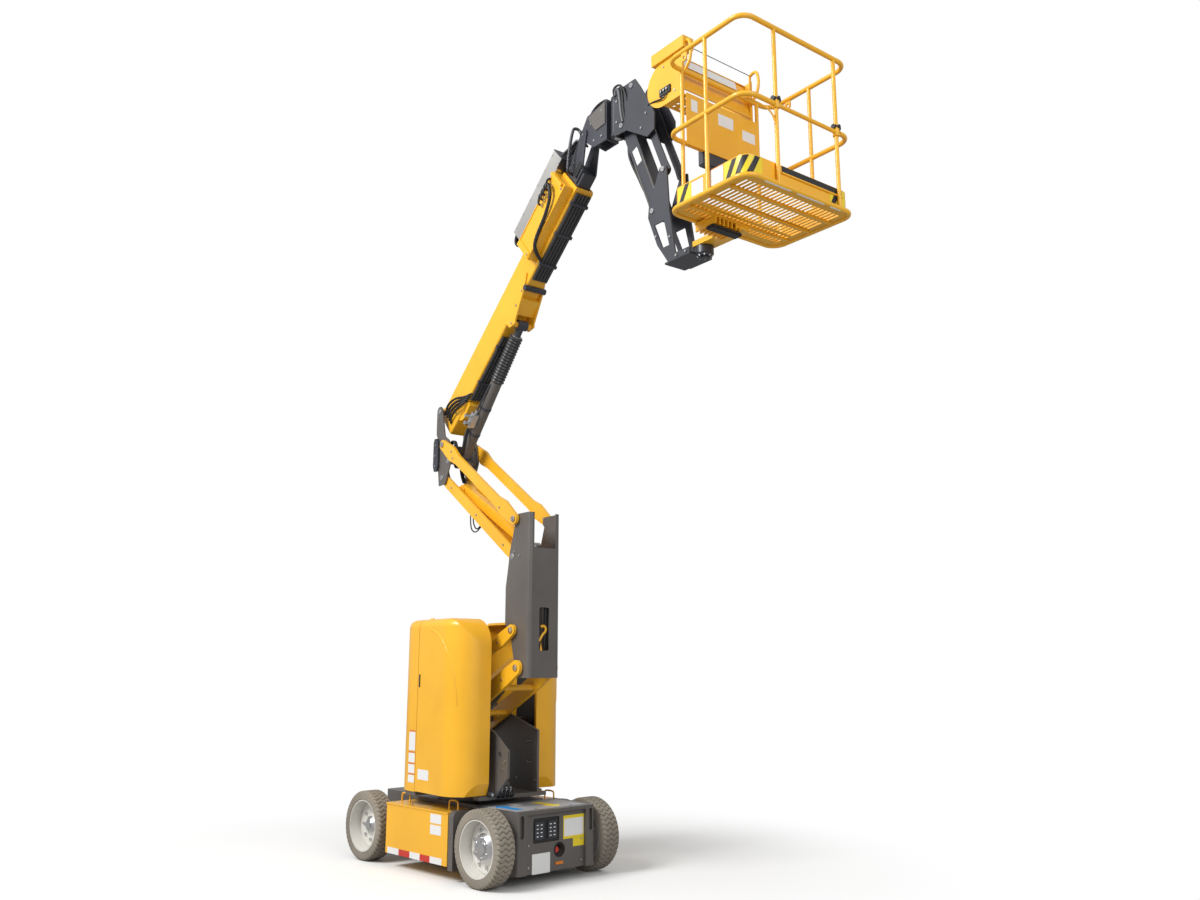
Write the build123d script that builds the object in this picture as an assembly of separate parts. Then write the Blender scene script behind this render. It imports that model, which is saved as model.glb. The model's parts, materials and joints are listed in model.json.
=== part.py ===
"""Articulating boom lift: electric, two riser stages, telescoping boom, swinging jib and basket.

Frame: millimetres, +Z up, origin on the ground under the slew axis, +X towards the charger end.
The chassis is square to the frame; everything above the slew ring is drawn in line with +X
and turned about Z by SLEW_ANGLE, the angle at which the turntable stands.
"""
import os
from math import atan2, cos, degrees, hypot, radians, sin

from build123d import *

# Chassis and wheels
WHEELBASE = 1650
OVERALL_WIDTH = 1240
TYRE_DIAMETER = 576
TYRE_WIDTH = 164
TYRE_SHOULDER = 22
RIM_RADIUS = 214
RIM_WALL = 8
BEAD_GAP = 0.3
HUB_RADIUS = 96
SPINDLE_RADIUS = 34
PIN_CLEARANCE = 0.05
CHASSIS_LENGTH = 2100
CHASSIS_CORE_WIDTH = 520
DECK_HEIGHT = 550
CHASSIS_BOTTOM = 90
FRONT_COVER_WIDTH = 860
FRONT_FACE_WIDTH = 600
FACE_RECESS = 26
GRIP_SLOT_Z = 440
GRIP_SLOT_LENGTH = 170
GRIP_SLOT_WIDTH = 36
CHARGER = (-90, 399)
CHARGER_WIDTH = 264
CHARGER_HEIGHT = 182
SOCKET = (44, 240)
SOCKET_RADIUS = 48
BATTERY_BOX_LENGTH = 890
BATTERY_BOX_OUTER = 612
BATTERY_BOX_BOTTOM = 115
BATTERY_BOX_TOP = 505
KINGPIN_OFFSET = 400
KINGPIN_RADIUS = 18
DECK_HALF = 345
DECK_PLATE = 30
TIE_DOWN = (-605, 560)
TIE_DOWN_RADIUS = 18
TIE_DOWN_PLATE = 22

# Turntable and hoods
SLEW_ANGLE = -5.5
SLEW_RING_RADIUS = 330
SLEW_RING_BORE = 230
SLEW_RING_HEIGHT = 50
SLEW_GAP = 0.3
BASE_PLATE = 30
SIDE_PLATE_IN = 205
SIDE_PLATE = 20
EAR_FRONT = 820
EAR_TOP = 984
EAR_HOLE = (697, 948)
EAR_HOLE_RADIUS = 26
FAR_PLATE_FRONT = 600
HOOD_REAR = -400
HOOD_FRONT = 650
HOOD_FRONT_LEFT = 455
HOOD_IN = 290
HOOD_OUT = 604
HOOD_TOP = 2030
HOOD_REAR_RADIUS = 290
HOOD_FRONT_RADIUS = 230
HOOD_TOP_RADIUS = 70
HOOD_BROW_RADIUS = 230
HOOD_TUCK = 36
HOOD_TUCK_HEIGHT = 110
HOOD_WALL = 20
HOOD_SEAM_X = 0
HOOD_SEAM = 6
HINGE_SETBACK = 50
HINGE_Y = 330
HINGE_ROD = 14
HINGE_HEIGHT = 300

# Lower tower: arm, links and riser
LOWER_ARM_LENGTH = 1200
LOWER_ARM_ANGLE = 26
LOWER_ARM_HEIGHT = 140
LOWER_ARM_TUBES = ((420, -44), (900, -34))
LOWER_ARM_TUBE_RADIUS = 24
RISER_LOW_PIN = (850, 1630)
LOWER_LINK_OFFSET = (-80, 300)
LOWER_LINK_HEIGHT = 84
LOWER_LINK_PADDLE = 120
ARM_IN = 160
ARM_PLATE = 28
PIN_RADIUS = 25

# Riser channel
RISER_HALF_WIDTH = 152.5
RISER_WALL = 10
RISER_DEPTH = 360
RISER_CORNER = 34
RISER_FRONT = 980
RISER_BOTTOM = 1550
RISER_TOP = 2885
RISER_NOTCH = 290
RISER_NOTCH_HALF = 106
RISER_WINDOW = (1765, 2110)
RISER_WINDOW_WIDTH = 96

# Upper tower: arms and link
UPPER_ARM_LENGTH = 1506
UPPER_ARM_ANGLE = 33.9
UPPER_ARM_HEIGHT = 92
UPPER_ARM_PADDLE = 136
RISER_TOP_PIN = (783, 2842)
UPPER_LINK_OFFSET = (-60, -307)
UPPER_LINK_HEIGHT = 100
UPPER_LINK_IN = 112
UPPER_LINK_PLATE = 22

# Tower lift cylinders
STAGE_BARREL_RADIUS = 42
STAGE_ROD_RADIUS = 24
STAGE_ROD_INSIDE = 300
STAGE_EYE_HALF = 60
ROD_CLEARANCE = 0.3
LOWER_CYLINDER_SETBACK = 200
LOWER_EYE_OFFSET = (-50, 130)
LOWER_BARREL_LENGTH = 760
UPPER_CYLINDER_SETBACK = 250
UPPER_CYLINDER_LIFT = 15
UPPER_EYE_OFFSET = (17, -220)
UPPER_BARREL_LENGTH = UPPER_ARM_LENGTH - 426

# Upright and main boom
BOOM_PIN_OFFSET = (-133, 348)
BOOM_ANGLE = 41
BOOM_LENGTH = 2600
BOOM_TOP = 50
BOOM_HEIGHT = 290
BOOM_WIDTH = 180
BOOM_WALL = 12
FLY_REACH = 120
FLY_OVERLAP = 1900
FLY_LENGTH = BOOM_LENGTH + FLY_REACH
FLY_START = BOOM_LENGTH - FLY_OVERLAP
FLY_HEIGHT = 226
FLY_WIDTH = 128
PAD_GAP = 0.3
FLY_WALL = 8
TRAY_OVERLAP = 730
TRAY_NEAR = 150
TRAY_FAR = 62
TRAY_HEIGHT = 170
TRAY_WALL = 4
HOSE_PANEL_DEPTH = 80
NOSE_PIN = (FLY_LENGTH + 230, 60)
LIFT_EYE = (1270, -325)
LIFT_BASE_OFFSET = (47, -162)
LIFT_BARREL_RADIUS = 52
LIFT_ROD_RADIUS = 30
BELLOWS_RADIUS = 62
BELLOWS_GAP = 1.5
LIFT_BARREL_LENGTH = 950
LIFT_ROD_INSIDE = 700
LIFT_PIN_RADIUS = 26

# Nose, jib and platform support
SWING_AXIS_OFFSET = 376
SWING_BOSS_RADIUS = 55
SWING_PIN_RADIUS = 28
JIB_PIN_OFFSET = (180, -175)
JIB_LENGTH = 930
JIB_ANGLE = -67
JIB_ARM_HEIGHT = 120
JIB_ARM_HALF = 55
JIB_PLATE_IN = 98
JIB_PLATE = 12
JIB_LINK_OFFSET = (128, 290)
JIB_LINK_HEIGHT = 64
JIB_LINK_IN = 62
JIB_LINK_PLATE = 14
JIB_PIN_RADIUS = 20

# Basket
BASKET_GAP = 180
ROTATOR_RADIUS = 66
ROTATOR_OFFSET = (440, -405)
BASKET_DEPTH = 768
BASKET_LENGTH = 1060
BASKET_CORNER = 115
BASKET_RAIL_HEIGHT = 1104
BASKET_MID_RAIL = 554
RAIL_RADIUS = 17
BRACKET_HEIGHT = 40
POST_RADIUS = 14
ANCHOR_RADIUS = 12
ANCHOR_PLATE = 10
TOE_BOARD = 150
SHEET = 6
ENTRY_POSTS = (-230, 360)
ENTRY_CLEAR = 26
SIDE_POST_SETBACK = 400
REAR_POST = 372
PANEL_LOW = 540
PANEL_HIGH = 930
PANEL_HALF = 352
CONSOLE_DEPTH = 380
CONSOLE_HALF = 350
CONSOLE_LOW = 940
CONSOLE_TOP = 1285
CONSOLE_HOOD = 90
FLOOR_SLOTS_X = 4
FLOOR_SLOTS_Y = 24

os.makedirs("parts", exist_ok=True)


# Shared shapes

def export(name, shape, slewed=True):
    """Write one node, turning what stands on the slew ring."""
    if slewed:
        shape = Rot(0, 0, SLEW_ANGLE) * shape
    export_step(shape, f"parts/{name}.step")


def slab(profile, y_low, y_high):
    """Extrude an X-Z profile between two Y planes."""
    return Rot(90, 0, 0) * (Pos(0, 0, -y_high) * extrude(profile, y_high - y_low))


def pair(profile, y_in, thickness):
    """The same plate on both sides of the middle plane."""
    return slab(profile, y_in, y_in + thickness) + slab(profile, -y_in - thickness, -y_in)


def outline(points, radius=0):
    """A polygon with its corners rounded."""
    shape = Polygon(*points, align=None)
    if radius:
        shape = fillet(shape.vertices(), radius)
    return shape


def spot(point, radius):
    return Pos(point[0], point[1]) * Circle(radius)


def across(point, radius, y_low, y_high):
    """A round bar along Y through a point of the X-Z plane."""
    return slab(spot(point, radius), y_low, y_high)


def block(x0, x1, y0, y1, z0, z1):
    return Pos((x0 + x1) / 2, (y0 + y1) / 2, (z0 + z1) / 2) * Box(x1 - x0, y1 - y0, z1 - z0)


def bar(start, end, radius):
    """A round bar between two points."""
    direction = Vector(*end) - Vector(*start)
    return Plane(origin=start, z_dir=direction) * extrude(Circle(radius), direction.length)


def upright_bar(x, y, radius, z0, z1):
    return Pos(x, y, z0) * extrude(Circle(radius), z1 - z0)


def polar(origin, length, angle):
    return (origin[0] + length * cos(radians(angle)), origin[1] + length * sin(radians(angle)))


def shift(point, offset):
    return (point[0] + offset[0], point[1] + offset[1])


def strap(start, end, tip, waist, bore, reach, paddle=0):
    """A plate link: rounded tips, a straight waist, pin holes and, where asked, wider paddles."""
    length = hypot(end[0] - start[0], end[1] - start[1])
    body = Pos(length / 2, 0) * Rectangle(length - 2 * reach, waist)
    for x, side in ((0, 1), (length, -1)):
        shoulder = Pos(x + side * reach, 0) * Circle(max(paddle, waist) / 2)
        body += make_hull((Pos(x, 0) * Circle(tip)).edges() + shoulder.edges())
        if paddle:
            neck = Pos(x + side * reach * 1.7, 0) * Circle(waist / 2 - 1)
            body += make_hull(shoulder.edges() + neck.edges())
    for x in (0, length):
        body -= Pos(x, 0) * Circle(bore)
    angle = degrees(atan2(end[1] - start[1], end[0] - start[0]))
    return Pos(*start) * Rot(0, 0, angle) * body


def pin_stubs(point, y_in, y_out, radius=PIN_RADIUS):
    """Pivot pins standing out of both side plates."""
    return across(point, radius, y_in, y_out) + across(point, radius, -y_out, -y_in)


def on_line(origin, angle):
    """Placement of a member drawn along +X with its pivot at the origin."""
    return Pos(origin[0], 0, origin[1]) * Rot(0, -angle, 0)


PIN_BORE = PIN_RADIUS + PIN_CLEARANCE

# Places worked out from the driving dimensions
WHEEL_X = WHEELBASE / 2
WHEEL_Y = (OVERALL_WIDTH - TYRE_WIDTH) / 2
WHEEL_Z = TYRE_DIAMETER / 2
TURNTABLE_Z = DECK_HEIGHT + SLEW_RING_HEIGHT + SLEW_GAP
PLATE_Z = TURNTABLE_Z + BASE_PLATE
LOWER_ARM_PIN = polar(RISER_LOW_PIN, -LOWER_ARM_LENGTH, LOWER_ARM_ANGLE)
LOWER_LINK_PIN = shift(LOWER_ARM_PIN, LOWER_LINK_OFFSET)
RISER_LINK_PIN = shift(RISER_LOW_PIN, LOWER_LINK_OFFSET)
UPPER_DIRECTION = 180 - UPPER_ARM_ANGLE
UPRIGHT_PIN = polar(RISER_TOP_PIN, UPPER_ARM_LENGTH, UPPER_DIRECTION)
RISER_UPPER_LINK_PIN = shift(RISER_TOP_PIN, UPPER_LINK_OFFSET)
UPRIGHT_LINK_PIN = shift(UPRIGHT_PIN, UPPER_LINK_OFFSET)
BOOM_PIN = shift(UPRIGHT_PIN, BOOM_PIN_OFFSET)
LIFT_BASE = shift(UPRIGHT_PIN, LIFT_BASE_OFFSET)
LOWER_CYLINDER_BASE = polar(LOWER_ARM_PIN, LOWER_CYLINDER_SETBACK, LOWER_ARM_ANGLE)
LOWER_CYLINDER_EYE = shift(RISER_LOW_PIN, LOWER_EYE_OFFSET)
UPPER_CYLINDER_BASE = polar(RISER_UPPER_LINK_PIN, UPPER_ARM_LENGTH - UPPER_CYLINDER_SETBACK,
                            UPPER_DIRECTION)
UPPER_CYLINDER_BASE = polar(UPPER_CYLINDER_BASE, UPPER_CYLINDER_LIFT, UPPER_DIRECTION - 90)
UPPER_CYLINDER_EYE = shift(RISER_TOP_PIN, UPPER_EYE_OFFSET)


def on_boom(s, n):
    """A point given along and square to the main boom, in the X-Z plane."""
    x, z = polar(BOOM_PIN, s, BOOM_ANGLE)
    return polar((x, z), n, BOOM_ANGLE + 90)


NOSE_PIVOT = on_boom(*NOSE_PIN)
SWING_X = NOSE_PIVOT[0] + SWING_AXIS_OFFSET
JIB_PIN = (SWING_X + JIB_PIN_OFFSET[0], NOSE_PIVOT[1] + JIB_PIN_OFFSET[1])
JIB_END = polar(JIB_PIN, JIB_LENGTH, JIB_ANGLE)
JIB_LINK_PIN = shift(JIB_PIN, JIB_LINK_OFFSET)
JIB_LINK_END = shift(JIB_END, JIB_LINK_OFFSET)
ROTATOR = shift(JIB_END, ROTATOR_OFFSET)
BASKET_REAR = ROTATOR[0] + BASKET_GAP
FLOOR_Z = ROTATOR[1] + BRACKET_HEIGHT + RAIL_RADIUS
BASKET_FRONT = BASKET_REAR + BASKET_DEPTH
BASKET_SIDE = BASKET_LENGTH / 2 - RAIL_RADIUS
TOE_INSET = 2 * RAIL_RADIUS + BEAD_GAP
ANCHOR = (BASKET_REAR + 200, FLOOR_Z + BASKET_RAIL_HEIGHT - 50)
POSTS = [(BASKET_FRONT - RAIL_RADIUS, ENTRY_POSTS[0]), (BASKET_FRONT - RAIL_RADIUS, ENTRY_POSTS[1]),
         (BASKET_REAR + SIDE_POST_SETBACK, -BASKET_SIDE), (BASKET_REAR + SIDE_POST_SETBACK, BASKET_SIDE),
         (BASKET_REAR + RAIL_RADIUS, -REAR_POST), (BASKET_REAR + RAIL_RADIUS, REAR_POST)]


# Wheels

def tyre():
    section = Pos((RIM_RADIUS + BEAD_GAP + WHEEL_Z) / 2, 0) * Rectangle(
        WHEEL_Z - RIM_RADIUS - BEAD_GAP, TYRE_WIDTH)
    shoulders = section.vertices().sort_by(Axis.X)[2:]
    return revolve(fillet(shoulders, TYRE_SHOULDER), Axis.Y)


def rim(drive):
    """Deep dished wheel: barrel, web set to the inner side and a hub that stands out of it."""
    half = TYRE_WIDTH / 2 - 4
    inner = RIM_RADIUS - RIM_WALL
    web_in = -half + 44
    hub = HUB_RADIUS if drive else HUB_RADIUS * 0.62
    reach = 62 if drive else 48
    bore = SPINDLE_RADIUS + PIN_CLEARANCE
    profile = [(bore, web_in), (RIM_RADIUS - 30, web_in), (inner, web_in - 18),
               (inner, -half), (RIM_RADIUS, -half), (RIM_RADIUS, half), (inner, half),
               (inner, web_in + 4), (RIM_RADIUS - 34, web_in + 16), (hub + 34, web_in + 16),
               (hub, web_in + reach - 10), (hub - 12, web_in + reach),
               (0, web_in + reach), (0, 4), (bore, 4)]
    return revolve(Polygon(*profile, align=None), Axis.Y)


def export_wheels():
    for end, x in (("front", WHEEL_X), ("rear", -WHEEL_X)):
        for side, turn in (("left", 0), ("right", 180)):
            y = WHEEL_Y if side == "left" else -WHEEL_Y
            place = Pos(x, y, WHEEL_Z) * Rot(0, 0, turn)
            export(f"tyre_{end}_{side}", place * tyre(), False)
            export(f"rim_{end}_{side}", place * rim(end == "front"), False)


# Chassis

def front_cover():
    """Moulded end housing: ribbed corners with grip slots and a flat face with the charger pocket."""
    half = FRONT_COVER_WIDTH / 2
    face = FRONT_FACE_WIDTH / 2
    end = CHASSIS_LENGTH / 2
    start = WHEEL_X - WHEEL_Z - 20
    plan = outline([(start, -half), (end - 110, -half), (end, -face - 90), (end, face + 90),
                    (end - 110, half), (start, half)], 24)
    body = Pos(0, 0, CHASSIS_BOTTOM) * extrude(plan, DECK_HEIGHT - CHASSIS_BOTTOM)
    body -= block(end - FACE_RECESS, end + 1, -face, face, CHASSIS_BOTTOM - 1, DECK_HEIGHT - 26)
    for y in (-face - 52, face + 52):
        slot = Pos(y, GRIP_SLOT_Z) * Rot(0, 0, 90) * SlotOverall(GRIP_SLOT_LENGTH, GRIP_SLOT_WIDTH)
        body -= Pos(end - FACE_RECESS, 0, 0) * extrude(Plane.YZ * slot, 2 * FACE_RECESS)
    charger = Pos(*CHARGER) * RectangleRounded(CHARGER_WIDTH, CHARGER_HEIGHT, 8)
    body -= Pos(end - FACE_RECESS - 14, 0, 0) * extrude(Plane.YZ * charger, 2 * FACE_RECESS)
    socket = Pos(*SOCKET) * Circle(SOCKET_RADIUS)
    body -= Pos(end - FACE_RECESS - 60, 0, 0) * extrude(Plane.YZ * socket, 4 * FACE_RECESS)
    guard = block(start - 60, start, -BATTERY_BOX_OUTER, BATTERY_BOX_OUTER, CHASSIS_BOTTOM,
                  DECK_HEIGHT - 20)
    guard = fillet(guard.edges().filter_by(Axis.X).group_by(Axis.Z)[-1], 50)
    return body + guard


def axle_fork(side):
    """End of the steered axle: two lugs that hold the kingpin."""
    y = side * KINGPIN_OFFSET
    x = -WHEEL_X
    lugs = block(x - 45, x + 45, y - 45, y + 45, WHEEL_Z - 75, WHEEL_Z - 50)
    lugs += block(x - 45, x + 45, y - 45, y + 45, WHEEL_Z + 50, WHEEL_Z + 75)
    return lugs + upright_bar(x, y, KINGPIN_RADIUS, WHEEL_Z - 75, WHEEL_Z + 75)


def chassis_frame():
    half = CHASSIS_CORE_WIDTH / 2
    end = CHASSIS_LENGTH / 2
    start = WHEEL_X - WHEEL_Z - 80
    core = block(-end, start, -half, half, CHASSIS_BOTTOM, DECK_HEIGHT)
    core = fillet(core.edges().filter_by(Axis.Z).group_by(Axis.X)[0], 60)
    beam = block(-WHEEL_X - 25, -WHEEL_X + 45, -KINGPIN_OFFSET + 45, KINGPIN_OFFSET - 45,
                 WHEEL_Z - 75, WHEEL_Z + 75)
    frame = core + beam + axle_fork(1) + axle_fork(-1)
    frame += block(-480, start, -DECK_HALF, DECK_HALF, DECK_HEIGHT - DECK_PLATE, DECK_HEIGHT)
    x, z = TIE_DOWN
    lug = outline([(x - 50, z - 70), (x + 50, z - 70), (x + 32, z + 32), (x - 32, z + 32)], 12)
    lug -= spot(TIE_DOWN, TIE_DOWN_RADIUS)
    return frame + pair(lug, half, TIE_DOWN_PLATE)


def battery_box(side):
    half = BATTERY_BOX_LENGTH / 2
    inner = CHASSIS_CORE_WIDTH / 2
    low, high = sorted((side * inner, side * BATTERY_BOX_OUTER))
    box = block(-half, half, low, high, BATTERY_BOX_BOTTOM, BATTERY_BOX_TOP)
    lip_low, lip_high = sorted((side * inner, side * (BATTERY_BOX_OUTER + 6)))
    return box + block(-half - 5, half, lip_low, lip_high, BATTERY_BOX_TOP, BATTERY_BOX_TOP + 12)


def knuckle(side):
    """Steering knuckle: a kingpin eye and the wheel spindle."""
    y = side * KINGPIN_OFFSET
    eye = upright_bar(-WHEEL_X, y, 40, WHEEL_Z - 49.7, WHEEL_Z + 49.7)
    spindle = bar((-WHEEL_X, y, WHEEL_Z), (-WHEEL_X, side * (WHEEL_Y + 2), WHEEL_Z), SPINDLE_RADIUS)
    arm = block(-WHEEL_X - 140, -WHEEL_X, y - 16, y + 16, WHEEL_Z - 45, WHEEL_Z - 25)
    hole = upright_bar(-WHEEL_X, y, KINGPIN_RADIUS + PIN_CLEARANCE, WHEEL_Z - 80, WHEEL_Z + 80)
    return eye + spindle + arm - hole


def drive_unit(side):
    """Wheel motor and gear case that carries a driven wheel."""
    cover = side * FRONT_COVER_WIDTH / 2
    case = bar((WHEEL_X, cover, WHEEL_Z), (WHEEL_X, cover + side * 34, WHEEL_Z), 110)
    return case + bar((WHEEL_X, cover, WHEEL_Z), (WHEEL_X, side * (WHEEL_Y + 2), WHEEL_Z), SPINDLE_RADIUS)


def export_chassis():
    export("chassis_frame", chassis_frame(), False)
    export("front_cover", front_cover(), False)
    for side, name in ((1, "left"), (-1, "right")):
        export(f"battery_box_{name}", battery_box(side), False)
        export(f"knuckle_{name}", knuckle(side), False)
        export(f"drive_unit_{name}", drive_unit(side), False)
    ring = upright_bar(0, 0, SLEW_RING_RADIUS, DECK_HEIGHT, DECK_HEIGHT + SLEW_RING_HEIGHT)
    ring -= upright_bar(0, 0, SLEW_RING_BORE, DECK_HEIGHT - 1, DECK_HEIGHT + SLEW_RING_HEIGHT + 1)
    export("slew_ring", ring, False)


# Turntable

def hood_plan(front, inset=0, over=0):
    """Outline of a left hood from above, with its round tail and front corners."""
    rear, front, out = HOOD_REAR + inset, front - inset, HOOD_OUT - inset
    plan = outline([(rear, HOOD_IN - over), (front, HOOD_IN - over), (front, out), (rear, out)])
    plan = fillet(plan.vertices().group_by(Axis.Y)[-1].sort_by(Axis.X)[0], HOOD_REAR_RADIUS - inset)
    return fillet(plan.vertices().group_by(Axis.Y)[-1].sort_by(Axis.X)[-1], HOOD_FRONT_RADIUS - inset)


def hood_solid(front, inset=0, over=0):
    """A left hood's body: round top edges, a high round brow at the front and tucked-in ends."""
    top, low = HOOD_TOP - inset, PLATE_Z - over
    body = Pos(0, 0, low) * extrude(hood_plan(front, inset, over), top - low)
    rear, front = HOOD_REAR + inset, front - inset
    rim_edges = body.faces().sort_by(Axis.Z)[-1].edges().sort_by(Axis.Y)[1:]
    body = fillet(rim_edges, HOOD_TOP_RADIUS - inset)
    radius = HOOD_BROW_RADIUS - inset
    brow = make_face(Polyline((front - radius, top + 1), (front + 1, top + 1), (front + 1, top - radius),
                              (front - radius, top - radius), close=True))
    body -= slab(brow - spot((front - radius, top - radius), radius), 0, HOOD_OUT)
    tuck_top = PLATE_Z + HOOD_TUCK_HEIGHT
    side = outline([(rear + HOOD_TUCK, low), (front - HOOD_TUCK, low), (front + 5, tuck_top),
                    (front + 5, top + 1), (rear - 5, top + 1), (rear - 5, tuck_top)])
    return body & slab(side, 0, HOOD_OUT)


def turntable():
    """Base plate, tower side plates with their pivot pins and the hood hinge rods."""
    behind = Pos(HOOD_SEAM_X - HOOD_FRONT, 0) * Rectangle(2 * HOOD_FRONT, 4 * HOOD_OUT)
    tail = hood_plan(HOOD_FRONT, HOOD_WALL / 2) & behind
    base = Pos(0, 0, TURNTABLE_Z) * extrude(tail + mirror(tail, Plane.XZ), BASE_PLATE)
    base += block(HOOD_REAR + 30, HOOD_FRONT - 40, -HOOD_IN - 1, HOOD_IN + 1, TURNTABLE_Z, PLATE_Z)
    for side, front in ((-1, HOOD_FRONT), (1, HOOD_FRONT_LEFT)):
        x, y = front - HINGE_SETBACK, side * HINGE_Y
        base += block(x - 60, x + 34, min(y, side * HOOD_IN) - 34, max(y, side * HOOD_IN) + 34,
                      TURNTABLE_Z, PLATE_Z)
        base += upright_bar(x, y, HINGE_ROD, PLATE_Z, PLATE_Z + HINGE_HEIGHT)
    back = LOWER_LINK_PIN[0] - 70
    arm_x, arm_z = LOWER_ARM_PIN
    link_x, link_z = LOWER_LINK_PIN
    side = make_face(Polyline((back, PLATE_Z), (HOOD_FRONT, PLATE_Z), (EAR_FRONT, PLATE_Z + 150),
                              (EAR_FRONT, EAR_TOP), (EAR_FRONT - 216, EAR_TOP + 137),
                              (arm_x + 180, arm_z + 196), (link_x + 80, link_z + 70),
                              (back, link_z + 70), close=True))
    side -= spot(EAR_HOLE, EAR_HOLE_RADIUS)
    far = side - Pos(FAR_PLATE_FRONT + HOOD_FRONT, EAR_TOP) * Rectangle(2 * HOOD_FRONT, HOOD_TOP)
    frame = base + slab(side, -SIDE_PLATE_IN - SIDE_PLATE, -SIDE_PLATE_IN)
    frame += slab(far, SIDE_PLATE_IN, SIDE_PLATE_IN + SIDE_PLATE)
    inner = ARM_IN - 4
    frame += pin_stubs(LOWER_ARM_PIN, inner, SIDE_PLATE_IN)
    return frame + pin_stubs(LOWER_LINK_PIN, inner, SIDE_PLATE_IN)


def hood_shell(front):
    """A whole left hood, open towards the tower and underneath."""
    return hood_solid(front) - hood_solid(front, HOOD_WALL, 1)


def hood_door(shell, front):
    """Swinging front part of a hood with the eyes of its hinge."""
    reach = 4 * HOOD_FRONT
    door = shell & block(HOOD_SEAM_X + HOOD_SEAM / 2, reach, 0, reach, PLATE_Z + HOOD_SEAM, reach)
    x, y = front - HINGE_SETBACK, HINGE_Y
    for z in (PLATE_Z + 40, PLATE_Z + HINGE_HEIGHT - 80):
        door += upright_bar(x, y, HINGE_ROD + 12, z, z + 40)
        door += block(x, front - HOOD_WALL + 2, y - 14, y + 14, z, z + 40)
    return door - upright_bar(x, y, HINGE_ROD + PIN_CLEARANCE, PLATE_Z, PLATE_Z + HINGE_HEIGHT + 1)


def tail_cover(shell):
    reach = 4 * HOOD_FRONT
    return shell & block(-reach, HOOD_SEAM_X - HOOD_SEAM / 2, 0, reach, 0, reach)


def counterweight():
    """Two cast blocks inside the tail covers."""
    low, high = HOOD_IN + 20, HOOD_OUT - HOOD_WALL - 40
    block_left = block(HOOD_REAR + 170, HOOD_SEAM_X - 40, low, high, PLATE_Z, PLATE_Z + 560)
    return block_left + mirror(block_left, Plane.XZ)


def slew_drive():
    motor = upright_bar(150, 0, 70, PLATE_Z, PLATE_Z + 110)
    return motor + block(230, 400, -70, 70, PLATE_Z, PLATE_Z + 70)


def export_turntable():
    export("turntable", turntable())
    left, right = hood_shell(HOOD_FRONT_LEFT), hood_shell(HOOD_FRONT)
    export("hood_door_left", hood_door(left, HOOD_FRONT_LEFT))
    export("hood_door_right", mirror(hood_door(right, HOOD_FRONT), Plane.XZ))
    export("tail_cover_left", tail_cover(left))
    export("tail_cover_right", mirror(tail_cover(right), Plane.XZ))
    export("counterweight", counterweight())
    export("slew_drive", slew_drive())


# Lower tower

def lower_arm():
    plate = strap(LOWER_ARM_PIN, RISER_LOW_PIN, 60, LOWER_ARM_HEIGHT, PIN_BORE, 170)
    arm = pair(plate, ARM_IN, ARM_PLATE)
    place = on_line(LOWER_ARM_PIN, LOWER_ARM_ANGLE)
    for along, up in LOWER_ARM_TUBES:
        arm += place * across((along, up), LOWER_ARM_TUBE_RADIUS, -ARM_IN, ARM_IN)
    return arm


def lower_link():
    plate = strap(LOWER_LINK_PIN, RISER_LINK_PIN, 46, LOWER_LINK_HEIGHT, PIN_BORE, 170, LOWER_LINK_PADDLE)
    return pair(plate, ARM_IN, ARM_PLATE)


def stage_cylinder(base, eye, barrel_length, seat):
    """Barrel and rod of a tower lift cylinder; the barrel's trunnion reaches its seats at +-seat."""
    length = hypot(eye[0] - base[0], eye[1] - base[1])
    angle = degrees(atan2(eye[1] - base[1], eye[0] - base[0]))
    barrel = bar((0, 0, 0), (barrel_length, 0, 0), STAGE_BARREL_RADIUS)
    barrel += across((0, 0), STAGE_BARREL_RADIUS, -60, 60) + across((0, 0), PIN_RADIUS, -seat, seat)
    barrel -= bar((60, 0, 0), (barrel_length + 1, 0, 0), STAGE_ROD_RADIUS + ROD_CLEARANCE)
    rod = bar((STAGE_ROD_INSIDE, 0, 0), (length, 0, 0), STAGE_ROD_RADIUS)
    rod += across((length, 0), STAGE_BARREL_RADIUS - 6, -STAGE_EYE_HALF, STAGE_EYE_HALF)
    place = on_line(base, angle)
    return place * barrel, place * rod


# Riser

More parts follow.
